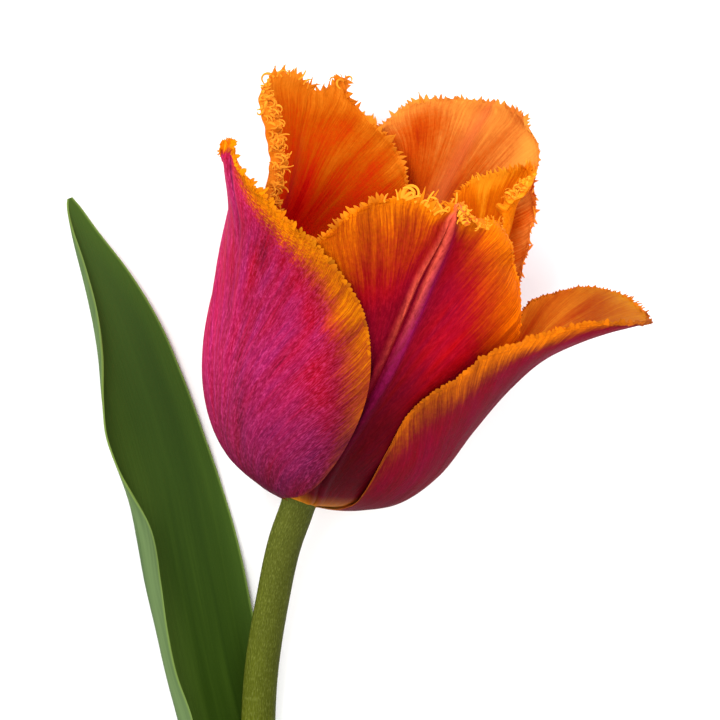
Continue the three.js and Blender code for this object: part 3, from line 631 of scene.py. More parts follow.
class Margin:
    """One margin of a blade, walked away from the base or from left to right."""

    def __init__(self, blade, kind, fields):
        rows, columns = np.arange(TEPAL_ROWS), np.arange(TEPAL_COLUMNS)
        if kind == "top":
            rows, inner = np.full_like(columns, TEPAL_ROWS - 1), blade.points[-1 - ROWS_INWARD]
            self.share = np.linspace(0, 1, TEPAL_COLUMNS)
        else:
            edge, inward = (0, COLUMNS_INWARD) if kind == "left" else (TEPAL_COLUMNS - 1, -COLUMNS_INWARD)
            columns = np.full_like(rows, edge)
            inner = blade.points[:, edge + inward]
            self.share = blade.share[:, edge]
        self.line = blade.points[rows, columns]
        self.normal = blade.out[rows, columns]
        self.along = unit(np.gradient(self.line, axis=0))
        out = self.line - inner
        self.out = unit(out - self.along * (out * self.along).sum(1, keepdims=True))
        self.reach = walked(self.line)
        self.values = {name: grid[rows, columns] for name, grid in fields.items()}

    def at(self, position):
        """Place, out, normal, along, share and surface numbers at a distance along the margin."""
        k = min(int(np.searchsorted(self.reach, position)), len(self.reach) - 1)
        numbers = {name: float(values[k]) for name, values in self.values.items()}
        spot = [np.array([np.interp(position, self.reach, axis) for axis in grid.T])
                for grid in (self.line, self.out, self.normal, self.along)]
        return (*spot, float(self.share[k]), numbers)


def fringe(solid, seed, line, style, skip):
    """Teeth along a margin, except between the shares in skip."""
    rng = np.random.default_rng(seed)
    clumps = Wobble(seed, CLUMP_SPACING)
    position = 0.0
    while position < line.reach[-1]:
        place, out, normal, along, share, numbers = line.at(position)
        length = float(profile(style["teeth"], share))
        width = style["width"] * rng.uniform(0.7, 1.3)
        fine = float(smooth(0.45, 1.0, length))          # long teeth are uneven, and lean and bend
        size = length * rng.uniform(0.55, 1.25) * (1 + 0.45 * fine * clumps(position))
        lean = rng.normal(0, 0.08 + 0.25 * fine * style["point"])
        heading = unit(turned(out, along, lean) + normal * rng.normal(0, 0.05 + 0.12 * fine))
        sideways = unit(along - heading * (along @ heading))
        bend = (rng.normal(0, 0.3 * fine), rng.normal(0, 0.3 * fine))
        if length > LEAST_TOOTH and not skip[0] < share < skip[1]:
            add_tooth(solid, place - out * TOOTH_ROOT, heading, np.cross(sideways, heading), sideways,
                      size + TOOTH_ROOT, width, bend, style["point"] * rng.uniform(0.8, 1.1), numbers)
        position += width * rng.uniform(0.55, 0.85)


def add_roll(solid, seed, line, roll):
    """A stretch of margin that curls over, ruffled, with hairs along its edge."""
    keep = (line.share >= roll["start"]) & (line.share <= roll["end"])
    reach = np.arange(line.reach[keep][0], line.reach[keep][-1], ROLL_SPACING)
    spots = [line.at(position) for position in reach]
    place, out, normal = (np.array([spot[k] for spot in spots]) for k in range(3))
    share = (reach - reach[0]) / (reach[-1] - reach[0])
    taper = np.minimum(smooth(0, 0.2, share), smooth(1, 0.85, share)) * 0.9 + 0.1
    ruffle = Wobble(seed + 3, RUFFLE_SPACING)(reach)
    t = np.linspace(0, 1, ROLL_STEPS + 1)
    fold = 1 - (1 - t) ** 2.2 if abs(roll["turn"]) > 90 else t       # a strong turn starts at once
    wave = roll["ruffle"] * ruffle[:, None] * t
    turn = math.radians(roll["turn"]) * (0.75 + 0.25 * taper[:, None]) * fold + wave * 2.5
    step = roll["width"] * taper[:, None, None] / ROLL_STEPS
    heading = turned(out[:, None], -normal[:, None], turn[..., None])
    over = turned(normal[:, None], out[:, None], turn[..., None])
    points = (place - out * ROLL_ROOT)[:, None] + np.cumsum(heading * step, axis=1)
    numbers = {name: np.array([spot[5][name] for spot in spots])[:, None] for name in spots[0][5]}
    numbers["tooth"] = 0.3 * t[None] ** 2 + 0 * turn
    # The midrib's colour carried onto the roll, partly a painted highlight as on the front tepal's ribs
    blush = roll.get("blush", 0) * smooth(0.9, 0.2, share)[:, None] * smooth(1.0, 0.7, t)
    numbers["ridge"] = np.maximum(numbers["ridge"], blush)
    half = over * MARGIN_THICKNESS / 2
    add_blade(solid, (points + half)[:, ::-1], (points - half)[:, ::-1],
              **{name: np.broadcast_to(value, turn.shape)[:, ::-1] for name, value in numbers.items()})
    rng = np.random.default_rng(seed + 4)
    along = unit(np.gradient(place, axis=0))
    for k in np.sort(rng.integers(1, len(spots) - 1, int(len(spots) * roll["hairs"]))):
        j = rng.integers(4, ROLL_STEPS + 1)              # how far out over the roll this hair is
        curl = (roll["width"] * rng.uniform(0.3, 0.8) * taper[k], rng.uniform(40, 220) * rng.choice([-1, 1]),
                rng.normal(0, 22), rng.uniform(0, 40), rng.uniform(30, 150))
        shade = dict(spots[k][5], gain=spots[k][5]["gain"] * rng.uniform(0.9, 1.15))
        add_curl(solid, points[k, j - 1], heading[k, j - 1], over[k, j - 1], along[k], curl, shade,
                 rng.uniform(0.1, 0.9))


# ---- Tepals: colour ----


def spots(blade, places):
    """Soft patches at (share, across, spread of share, spread across, strength), added up."""
    total = np.zeros(blade.share.shape)
    for share, across, tall, wide, strength in places:
        total += strength * bump_at(blade.share, share, tall) * bump_at(blade.across, across, wide)
    return np.clip(total, -1, 1)


def warmth(blade):
    """How far from magenta (0) to yellow (1) each point is, outside and inside, and where it is red."""
    spec, share = blade.spec, blade.share
    walks = {"left": (blade.from_left, share), "right": (blade.from_right, share),
             "top": (blade.from_top, np.broadcast_to(np.linspace(0, 1, TEPAL_COLUMNS), share.shape))}
    outside, flush = np.zeros_like(share), np.zeros_like(share)
    for side, (distance, way) in walks.items():
        band, fade = (profile(spec[side + "_margin"][key], way) for key in ("band", "fade"))
        reach = smooth(1.0, 0.0, (distance - band * 0.5) / (band * 0.5 + fade))
        outside = np.maximum(outside, reach * profile(spec.get("peak", 1), share))
        hem = smooth(1.0, 0.35, distance / np.maximum(band, 0.01))
        outside = np.maximum(outside, hem * profile(spec.get("hem", 1), share))
        flush = np.maximum(flush, smooth(1.0, 0.6, distance / (band + fade + 2.0)))
    inside = profile(spec.get("inside", CUP_INSIDE), share) + spots(blade, spec.get("tint", []))
    inside = inside + (1 - inside) * smooth(6.0, 0.0, blade.edge) * 0.5
    return np.clip(outside, 0, 1), np.clip(inside, 0, 1), flush


def lightness(blade, face=""):
    """How much lighter or darker the colours are made, up the blade and across it: painted light and shade,
    with some of the tepal's own lighter and darker parts.
    """
    up, over = (profile(blade.spec.get(key + face, 1), where)
                for key, where in (("up", blade.share), ("over", blade.across)))
    return up * over


def ridge_tint(name, blade):
    """Where the raised midrib takes the ridge colour, outside and inside; on the front tepal's twin ribs
    this is partly their own paler colour and partly a painted highlight along their crests.
    """
    share, x = blade.share, blade.across
    if name == "inner_tepal_front":
        gap = front_gap(share)
        pair = bump_at(x, gap + 0.1, 0.5) + bump_at(x, -gap, 0.4)
        return pair * smooth(0.52, 0.84, share), 0.5 * bump_at(x, 0, 1.0)
    if name == "outer_tepal_back":
        inner = bump_at(x, 0.2, 1.8) * smooth(0.35, 0.7, share) * 0.8
    else:
        inner = bump_at(x, 0, 0.9) * smooth(0.2, 0.6, share) * smooth(0.9, 0.62, share)
    return 0.5 * bump_at(x, 0, 0.9) * smooth(0.2, 0.6, share), inner


def violet_flank(name, blade):
    """The violet band along the right flank of the front tepal's ribs."""
    if name != "inner_tepal_front":
        return np.zeros_like(blade.share)
    aside = [(0, 0.0), (0.4, 0.1), (0.6, 0.3), (0.75, 1.0), (0.9, 1.4), (1, 1.4)]
    strength = [(0, 0), (0.15, 0.05), (0.35, 0.2), (0.5, 0.55), (0.65, 0.85), (0.8, 0.75), (0.92, 0.3),
                (1, 0)]
    centre = front_gap(blade.share) + profile(aside, blade.share)
    return profile(strength, blade.share) * bump_at(blade.across, centre, 0.95)


def tepal(name, material, slot):
    """One tepal with its fringe, rolled margins and curls. Paired fields are (outer face, inner face)."""
    blade = Blade(TEPALS[name])
    spec = blade.spec
    pull = MARGIN_INSET * smooth(0.2, 0.45, blade.share)
    inward = unit(blade.points[:, MIDRIB_COLUMN:MIDRIB_COLUMN + 1] - blade.points)
    blade.points = blade.points + inward * (pull * smooth(3.0, 0.0, blade.edge))[..., None]
    blade.points = blade.points + blade.out * relief(name, blade)[..., None]
    blade.measure()
    thickness = MARGIN_THICKNESS + (MIDDLE_THICKNESS - MARGIN_THICKNESS) * smooth(0.5, 5, blade.edge)
    thickness = thickness - (MARGIN_THICKNESS - EDGE_THICKNESS) * smooth(0.7, 0, blade.edge)
    blade.points[..., 2] = np.maximum(blade.points[..., 2], thickness / 2 + FLOOR_GAP)
    outside, inside, flush = warmth(blade)
    none, full = np.zeros_like(outside), np.ones_like(outside)
    fields = dict(
        vein=blade.vein, level=blade.level, along=blade.along, across=blade.across, share=blade.share,
        dark=(spots(blade, spec["dark"]), none), warm=(outside, inside),
        red=np.clip(spots(blade, spec.get("red", [])) + 0.85 * flush, 0, 1),
        gain=(lightness(blade), lightness(blade, "_inside")), violet=(violet_flank(name, blade), none),
        ridge=ridge_tint(name, blade), inner=(none, full))
    solid = Solid(*fields, "tooth")
    half = (blade.out * thickness[..., None]) / 2
    add_blade(solid, blade.points + half, blade.points - half, **fields)
    seen = 1 if spec.get("seen") == "inside" else 0
    plain = {key: value[seen] if isinstance(value, tuple) else value for key, value in fields.items()}
    plain["warm"] = np.maximum(plain["warm"], FRINGE_WARMTH)
    margins = {kind: Margin(blade, kind, plain) for kind in ("left", "right", "top")}
    rolls = spec.get("rolls", [])            # all of a tepal's rolls are on one margin
    rolled = {roll["margin"]: (min(each["start"] for each in rolls), max(each["end"] for each in rolls))
              for roll in rolls}
    for number, (kind, line) in enumerate(margins.items()):
        fringe(solid, spec["seed"] + number, line, spec[kind + "_margin"], rolled.get(kind, NOWHERE))
    for roll in rolls:
        add_roll(solid, spec["seed"], margins[roll["margin"]], roll)
    for kind, curls in spec["curls"].items():
        line = margins[kind]
        for share, *curl in curls:
            place, out, normal, along, _, numbers = line.at(np.interp(share, line.share, line.reach))
            add_curl(solid, place - out * TOOTH_ROOT, out, normal, along, curl, numbers)
    for points in solid.points:
        excess = points[:, 2] - FRINGE_HEIGHT
        points[:, 2] = np.minimum(points[:, 2], FRINGE_HEIGHT + FRINGE_DROOP * excess)
    solid.make(name, material, node=name)


# ---- Materials ----

NOISE_RANGE = (0.3, 0.7)     # which a noise mostly keeps to
SPECULAR = 0.02
# Bumps in metres
TEPAL_BUMP = 0.00018
STEM_BUMP = 0.0002
LEAF_BUMP = 0.0001
ORGAN_BUMP = 0.00015
SHEET_GAP = 5.3              # between the noise sheets that streaks of two widths are taken from


def linear(*screen):
    """Linear colour from 0 to 255 screen values."""
    parts = [v / 255 for v in screen]
    return (*(v / 12.92 if v <= 0.04045 else ((v + 0.055) / 1.055) ** 2.4 for v in parts), 1.0)


class Value:
    """A node's output, which adds, subtracts and multiplies as a number does."""

    def __init__(self, nodes, socket):
        self.nodes = nodes
        self.socket = socket

    def __add__(self, other):
        return self.nodes.math("ADD", self, other)

    def __sub__(self, other):
        return self.nodes.math("SUBTRACT", self, other)

    def __rsub__(self, number):
        return self.nodes.math("SUBTRACT", number, self)

    def __mul__(self, other):
        return self.nodes.math("MULTIPLY", self, other)

    def clamped(self):
        """Keeps a sum or product between 0 and 1."""
        self.socket.node.use_clamp = True
        return self

    def scaled(self, low, high, to_low=0.0, to_high=1.0):
        """The value with low to high stretched over to_low to to_high, and no further."""
        return self.nodes.node("ShaderNodeMapRange", self, low, high, to_low, to_high)

    def swing(self, to_low, to_high):
        """A noise with the range it mostly keeps to stretched over to_low to to_high."""
        return self.scaled(*NOISE_RANGE, to_low, to_high)


class Nodes:
    """A small builder of node materials. A colour is three screen values."""

    def __init__(self, name):
        self.material = bpy.data.materials.new(name)
        self.material.use_nodes = True
        self.tree = self.material.node_tree
        self.shader = self.tree.nodes["Principled BSDF"]

    def plug(self, socket, value):
        if isinstance(value, Value):
            self.tree.links.new(value.socket, socket)
        else:
            socket.default_value = linear(*value) if isinstance(value, tuple) else value

    def node(self, kind, *values, inputs=None, output=0, **settings):
        """A node with values on its first inputs, or on the named ones."""
        made = self.tree.nodes.new(kind)
        for key, value in settings.items():
            setattr(made, key, value)
        for key, value in zip(inputs or range(len(values)), values):
            self.plug(made.inputs[key], value)
        return Value(self, made.outputs[output])

    def attributes(self, *names):
        return [self.node("ShaderNodeAttribute", attribute_name=name, output="Fac") for name in names]

    def math(self, operation, a, b=0.0):
        return self.node("ShaderNodeMath", a, b, operation=operation)

    def mix(self, share, a, b, blend="MIX"):
        return self.node("ShaderNodeMix", share, a, b, inputs=("Factor", 6, 7), output=2,
                         data_type="RGBA", blend_type=blend)

    def shade(self, colour, light):
        """The colour made lighter or darker."""
        return self.mix(1.0, colour, self.vector(light, light, light), "MULTIPLY")

    def vector(self, x, y, z=0.0):
        return self.node("ShaderNodeCombineXYZ", x, y, z)

    def split(self, vector):
        outputs = self.node("ShaderNodeSeparateXYZ", vector).socket.node.outputs
        return [Value(self, socket) for socket in outputs]

    def noise(self, vector, scale=1.0, detail=2.0, roughness=0.5):
        return self.node("ShaderNodeTexNoise", vector, scale, detail, roughness,
                         inputs=("Vector", "Scale", "Detail", "Roughness"))

    def streaks(self, per_mm, stretch, page, detail, roughness):
        """Noise in streaks of an even width along the veins, although these fan out."""
        vein, along, level = self.attributes("vein", "along", "level")
        along = along * stretch
        level = level + math.log2(per_mm)
        step = self.math("FLOOR", level)
        parts = []
        for extra in (0.0, 1.0):
            finer = step + extra
            wide = vein * self.math("POWER", 2.0, finer)
            place = self.vector(wide, along, page + finer * SHEET_GAP)
            parts.append(self.noise(place, detail=detail, roughness=roughness))
        return parts[0] + (parts[1] - parts[0]) * (level - step)

    def ramp(self, share, stops):
        """Colours between stops of (position, red, green, blue)."""
        made = self.node("ShaderNodeValToRGB", share)
        elements = made.socket.node.color_ramp.elements
        while len(elements) < len(stops):
            elements.new(0.5)
        for element, (position, *colour) in zip(elements, stops):
            element.position = position
            element.color = linear(*colour)
        return made

    def bump(self, height, distance):
        bumps = self.node("ShaderNodeBump", 1.0, distance, height, inputs=("Strength", "Distance", "Height"))
        self.plug(self.shader.inputs["Normal"], bumps)

    def finish(self, colour, roughness, specular=SPECULAR):
        self.plug(self.shader.inputs["Base Color"], colour)
        self.plug(self.shader.inputs["Roughness"], roughness)
        self.shader.inputs["Specular IOR Level"].default_value = specular
        return self.material


def tepal_material(name, outside, inside, seed):
    """Streaks along the veins move the colour between magenta and yellow."""
    n = Nodes(name)
    vein, along, across, share = n.attributes("vein", "along", "across", "share")
    tooth, gain = n.attributes("tooth", "gain")
    warm, inner, ridge, violet, dark, red = n.attributes("warm", "inner", "ridge", "violet", "dark", "red")
    outer = 1.0 - inner
    page = inner * 7.0 + seed              # the inside gets its own sheet of each noise
    fine = n.streaks(2.4, 0.08, page, 3.0, 0.8)
    grain = n.streaks(3.0, 0.9, page, 2.0, 0.7)
    broad = n.noise(n.vector(vein * 4.0, along * 0.06, page))
    lumps = n.noise(n.vector(across, along, page), scale=1.3, roughness=0.6)
    levels = (n.vector(side["streak"], side["floor"], side["contrast"]) for side in (outside, inside))
    streak, floor, contrast = n.split(n.mix(inner, *levels))

    # Streaks push the tone towards yellow or magenta, most where the two meet.
    edges = warm * (1.0 - warm) * 4.0
    speckled = share.scaled(0.66, 0.76) * outside["speckle"] * outer
    push = (fine * 0.7 + broad * 0.3).scaled(0.37, 0.63, -1.0, 1.0) * (edges * streak + floor)
    push = push * (1.0 - speckled * 0.7)
    specks = (speckled * 0.35 + 0.05) * edges
    push = push + lumps.scaled(0.35, 0.65, -1.0, 1.0) * specks
    tone = (warm + push).clamped()

    # The outside
    cold = n.mix(red, outside["cold"], outside["red"])
    cold = n.mix(broad.scaled(0.35, 0.65, 0.0, 0.7), cold, outside["mottle"])
    colour = n.mix(tone.scaled(0.0, 0.35), cold, n.ramp(tone, outside["ramp"]))
    # The ribs' colour, on the front tepal partly a painted highlight along its twin ribs, and the violet
    # flank are broken up by the streaks
    streaky = fine.swing(0.25, 0.8) + grain.swing(-0.1, 0.7)
    colour = n.mix((ridge * streaky).clamped(), colour, outside["ridge"])
    colour = n.mix((violet * streaky).clamped(), colour, outside["violet"])

    # The inside
    tone = (tone + broad.swing(-inside["sweep"], inside["sweep"])).clamped()
    lining = n.mix((ridge * 0.85).clamped(), n.ramp(tone, inside["ramp"]), inside["ridge"])
    colour = n.mix(inner, colour, lining)

    # Dark patches, partly painted shade and partly darker purple, the foot, painted sheen flecks on the
    # velvet, light and dark streaks, painted light and shade, and the teeth's tips
    colour = n.mix((dark * fine.swing(1.15, 0.65)).clamped(), colour, outside["shade"])
    root = share.scaled(0.45 * outside["root"], outside["root"], 0.85, 0.0)
    colour = n.mix(root, colour, n.mix(inner, outside["base"], BASE_GREEN))
    # Painted sheen: lighter pink flecks that stand for highlights on the velvety outside, on its magenta
    # parts
    hairs = grain.scaled(0.46, 0.72, 0.0, outside["velvet_sheen_share"])
    colour = n.mix(hairs * (tone.scaled(0.25, 0.85, 1.0, 0.0) * outer), colour, outside["velvet_sheen"])
    light = fine.swing(-1.0, 1.0) + broad.swing(-0.7, 0.7) + grain.swing(-0.8, 0.8)
    # Painted light and shade, with some of the tepal's own lighter and darker parts: up and over make the
    # colour lighter or darker
    colour = n.shade(colour, (light * contrast + 1.0) * gain)
    colour = n.mix((tooth * 0.75).clamped(), colour, outside["tip"])
    lumpy = speckled * warm.scaled(0.3, 0.8, 0.0, 2.0)
    n.bump(fine * 0.6 + grain * 0.3 + lumps * lumpy, TEPAL_BUMP)
    return n.finish(colour, grain.swing(0.55, 0.7))


# Colours are screen values from 0 to 255, before the studio light brightens them. ramp goes from the
# magenta end of the tone to its yellow end. streak, floor and contrast say how much the streaks change the
# tone where magenta and yellow meet, the tone everywhere, and the lightness. shade is the colour of the dark
# patches, partly painted shade. The velvet colour and its share give a painted sheen: lighter flecks that
# stand for highlights on the velvety outside, mixed in on its magenta parts at most as strong as the share.
OUTSIDES = {
    "left": dict(
        ramp=[(0, 143, 14, 50), (0.3, 150, 20, 33), (0.5, 160, 42, 22), (0.68, 166, 60, 14),
            (0.85, 176, 80, 4), (1, 196, 108, 1)],
        cold=(150, 14, 54), red=(166, 6, 34), mottle=(112, 20, 72), shade=(62, 18, 50),
        velvet_sheen=(184, 64, 118), velvet_sheen_share=0.36, ridge=(118, 14, 50), violet=(110, 16, 70),
        base=(96, 62, 40), tip=(220, 140, 20), streak=0.24, floor=0.07, contrast=0.34, speckle=1.0,
        root=0.06),
    "right": dict(
        ramp=[(0, 102, 2, 26), (0.25, 108, 16, 20), (0.45, 118, 38, 12), (0.6, 132, 54, 8),
            (0.8, 156, 72, 5), (1, 180, 90, 3)],
        cold=(106, 0, 22), red=(114, 1, 20), mottle=(94, 2, 34), shade=(72, 14, 34), velvet_sheen=(138, 12, 54),
        velvet_sheen_share=0.12, ridge=(84, 16, 38), violet=(90, 14, 60), base=(184, 104, 4), tip=(190, 110, 14),
        streak=0.16, floor=0.05, contrast=0.24, speckle=0.0, root=0.1),
    "front": dict(
        ramp=[(0, 126, 1, 15), (0.2, 136, 10, 9), (0.4, 147, 30, 6), (0.6, 160, 50, 3), (0.8, 177, 72, 1),
            (1, 212, 108, 1)],
        cold=(121, 1, 18), red=(158, 3, 9), mottle=(105, 1, 32), shade=(44, 2, 26), velvet_sheen=(160, 30, 44),
        # ridge: the twin ribs' paler colour, partly a painted highlight along their crests
        velvet_sheen_share=0.2, ridge=(230, 92, 68), violet=(134, 10, 80), base=(198, 122, 1), tip=(246, 166, 48),
        streak=0.18, floor=0.05, contrast=0.2, speckle=0.0, root=0.2),
}
BASE_GREEN = (130, 110, 30)  # of the inside's foot
INSIDES = {
    "left": dict(
        ramp=[(0, 130, 6, 12), (0.3, 166, 34, 10), (0.6, 190, 70, 8), (1, 206, 108, 16)],
        ridge=(180, 60, 50), streak=0.25, floor=0.04, contrast=0.08, sweep=0.05),
    "back": dict(
        ramp=[(0, 184, 48, 6), (0.3, 202, 76, 6), (0.5, 208, 96, 22), (0.65, 208, 108, 36),
            (0.8, 218, 126, 46), (1, 230, 144, 54)],
        ridge=(218, 108, 54), streak=0.16, floor=0.07, contrast=0.09, sweep=0.13),
    "right": dict(
        ramp=[(0, 146, 18, 8), (0.3, 178, 58, 12), (0.5, 184, 80, 16), (0.7, 192, 98, 20),
            (0.85, 198, 112, 24), (1, 204, 126, 24)],
        ridge=(186, 80, 40), streak=0.15, floor=0.06, contrast=0.08, sweep=0.1),
    "deep": dict(
        ramp=[(0, 200, 6, 8), (0.12, 214, 30, 8), (0.3, 206, 52, 3), (0.45, 198, 68, 1), (0.6, 196, 84, 3),
            (0.8, 204, 104, 12), (1, 222, 128, 30)],
        ridge=(168, 20, 30), streak=0.12, floor=0.05, contrast=0.09, sweep=0.08),
    "yellow": dict(
        ramp=[(0, 170, 20, 8), (0.3, 200, 66, 5), (0.6, 216, 96, 3), (0.8, 230, 120, 5), (1, 244, 150, 24)],
        ridge=(226, 100, 20), streak=0.18, floor=0.08, contrast=0.09, sweep=0.12),
}


# ---- Stem and leaf ----

STEM_RADIUS = 3.0
RECEPTACLE_RADIUS = 3.5      # the stem's own, where it meets the receptacle
STEM_UNEVENNESS = 0.012
ROD_SIDES = 40
# (height along the flower's axis, radius)
RECEPTACLE_DISC = [(0.9, 3.2), (1.1, 3.9), (1.4, 4.3), (1.8, 4.5), (2.2, 4.4), (2.7, 3.6), (2.9, 1.5)]
# As from_base() reads them, from the flower to the cut end
STEM_LINE = [
    (0.33, 1.06, 14.8), (-0.5, -1.7, 13.6), (-2.6, -7.6, 11.3), (-4.9, -18, 8.2), (-6.9, -30.5, 6.2),
    (-7.7, -45, 5.0), (-8.1, -62, 4.45), (-8.2, -80, 4.25), (-8, -100, 3.65), (-7.6, -130, 3.05),
    (-7, -164.9, 3.05)]


def from_base(x, y, height):
    """A place given from the receptacle along X and Y and above the surface."""
    return np.array([FLOWER_BASE[0] + x, FLOWER_BASE[1] + y, height])


def stem_material():
    n = Nodes("stem")
    along, turn, disc = n.attributes("along", "turn", "disc")
    streak = n.noise(n.vector(turn * 9.0, along * 0.08), detail=3.0)
    grain = n.noise(n.vector(turn * 14.0, along * 1.1))
    blotch = n.noise(n.vector(turn, along * 0.12))
    fuzz = n.noise(n.vector(turn * 8.0, along * 2.2))
    colour = n.ramp(streak * 0.55 + blotch * 0.45, [(0.3, 58, 65, 4), (0.5, 71, 78, 10), (0.7, 86, 93, 20)])
    # Greyer and browner over the 60 mm next to the flower: partly the stem's own colour, partly painted
    # shade under the flower head
    colour = n.mix(along.scaled(0.0, 60.0, 0.7, 0.0), colour, (70, 74, 29))
    colour = n.mix(grain.scaled(0.5, 0.68, 0.0, 0.5), colour, (108, 114, 52))
    # Painted light and shade: lighter on the stem's left side and darker on its right; fuzz adds a fine
    # speckle
    colour = n.shade(colour, turn.scaled(-1.5, 1.5, 1.42, 0.58) * fuzz.swing(0.86, 1.14))
    colour = n.mix(disc * grain.swing(0.7, 1.0), colour, (150, 76, 4))
    n.bump(streak + grain * 0.6, STEM_BUMP)
    return n.finish(colour, grain.swing(0.45, 0.6))


def stem():
    path_keys = np.concatenate([np.linspace(0, 0.03, 12), np.linspace(0.035, 1, 180)])
    line = np.array([from_base(*point) for point in STEM_LINE])
    reach = walked(line)
    path = interpolate(reach / reach[-1], line, path_keys)
    swell = np.clip(1 - path_keys / 0.02, 0, 1) ** 2
    radii = STEM_RADIUS + (RECEPTACLE_RADIUS - STEM_RADIUS) * swell
    radii = radii * (1 + STEM_UNEVENNESS * Wobble(5, 0.2)(path_keys))
    solid = Solid("along", "turn", "disc")
    add_rod(solid, path, radii, ROD_SIDES, along=path_keys * reach[-1])
    height, radii = np.array(RECEPTACLE_DISC).T
    add_rod(solid, on_axis(height), radii, ROD_SIDES, disc=1.0)
    solid.make("stem_skin", stem_material(), node="stem")


# (Y, X, height, roll, left width, right width, left curl, left edge's curl, right curl) along the midrib,
# with X and Y from the receptacle. The curls are how far a half turns up on its way out, in degrees.
LEAF_STATIONS = [
    (-86, -8.2, 0.45, 0, 5.0, 5.0, 76, 0, 76),
    (-78, -8.2, 0.45, 0, 6.2, 6.0, 92, 0, 88),
    (-66, -9.3, 0.5, 2, 9.0, 8.0, 92, 10, 60),
    (-50, -12.6, 0.6, 6, 11.0, 9.4, 88, 45, 34),
    (-38, -15.2, 0.65, 8, 13.1, 10.2, 84, 97, 31),
    (-30, -17.0, 0.7, 8, 12.9, 10.4, 78, 80, 30),
    (-22, -18.6, 0.75, 8, 13.2, 10.2, 75, 90, 27),
    (-14, -20.2, 0.8, 8, 14.0, 10.2, 72, 124, 24),
    (-6, -21.8, 0.85, 8, 13.8, 9.8, 70, 138, 23),
    (2, -23.4, 0.9, 8, 12.3, 8.9, 66, 60, 22),
    (8, -25.0, 1.0, 8, 11.6, 8.4, 62, 20, 21),
    (14, -26.6, 1.1, 8, 11.7, 7.9, 60, 18, 20),
    (20, -28.6, 1.3, 8, 10.4, 7.6, 60, 35, 20),
    (27, -31.0, 1.6, 8, 8.4, 7.1, 60, 76, 20),
    (38, -35.2, 2.3, 8, 5.4, 5.1, 60, 130, 20),
    (47, -38.6, 3.1, 6, 3.2, 2.2, 50, 120, 20),
    (51.6, -40.4, 3.6, 5, 1.3, 0.9, 30, 60, 15),
    (52.9, -40.9, 3.8, 4, 0.5, 0.4, 20, 10, 10),
]
LEAF_ROWS = 220
LEAF_COLUMNS = 64
LEAF_SECTION_STEPS = 60
LEAF_EDGE_WIDTH = 2.0        # over which the leaf thins out
LEAF_MIDDLE_THICKNESS = 0.75
LEAF_EDGE_THICKNESS = 0.3


def half_section(width, curl, edge_curl, roll, shares):
    """How far out and up each row's half section has gone at shares of its width."""
    steps = LEAF_SECTION_STEPS
    f = (np.arange(steps) + 0.5) / steps
    turn = np.radians(roll[:, None] + curl[:, None] * f + edge_curl[:, None] * f**4)
    out = np.cumsum(np.cos(turn), axis=1) * width[:, None] / steps
    up = np.cumsum(np.sin(turn), axis=1) * width[:, None] / steps
    keys = np.concatenate([[0], (np.arange(steps) + 1) / steps])
    return [np.array([np.interp(shares, keys, np.concatenate([[0], row])) for row in grid])
            for grid in (out, up)]


def leaf_material():
    n = Nodes("leaf")
    along, across, inner, edge = n.attributes("along", "across", "inner", "edge")
    from_left, from_right = n.attributes("from_left", "from_right")
    veins = n.noise(n.vector(across * 1.9, along * 0.02), detail=3.0, roughness=0.6)
    broad = n.noise(n.vector(across * 0.35, along * 0.015))
    grain = n.noise(n.vector(across, along), scale=1.4, detail=3.0)
    upper = n.ramp(veins * 0.3 + broad * 0.7, [(0.3, 28, 47, 3), (0.5, 37, 57, 6), (0.7, 49, 70, 13)])
    upper = n.mix(along.scaled(50.0, 132.0, 0.0, 0.85), upper, (53, 73, 31))
    # Painted light: the upper face beside the curled left margin is made lighter where the curl shades it
    beside = from_left.scaled(5.0, 12.0, 0.8, 0.0) * along.scaled(75.0, 100.0, 1.0, 0.2)
    upper = n.mix(beside, upper, (70, 92, 34))
    # Painted shade: the curled-under strip gets darker from just inside its edge towards the fold, where it
    # turns away from the light
    under = n.ramp(from_left.scaled(0.0, 5.0) + veins.swing(-0.15, 0.15),
                   [(0, 78, 98, 60), (0.3, 92, 113, 70), (0.6, 80, 101, 60), (1, 52, 72, 42)])
    colour = n.mix(inner, under, upper)
    colour = n.mix(from_right.scaled(0.0, 3.5, 0.55, 0.0), colour, (62, 86, 28))
    colour = n.mix(edge.scaled(0.0, 0.4, 1.0, 0.0) * 0.8, colour, (112, 134, 62))
    n.bump(veins + grain * 0.3, LEAF_BUMP)
    return n.finish(colour, grain.swing(0.5, 0.6))


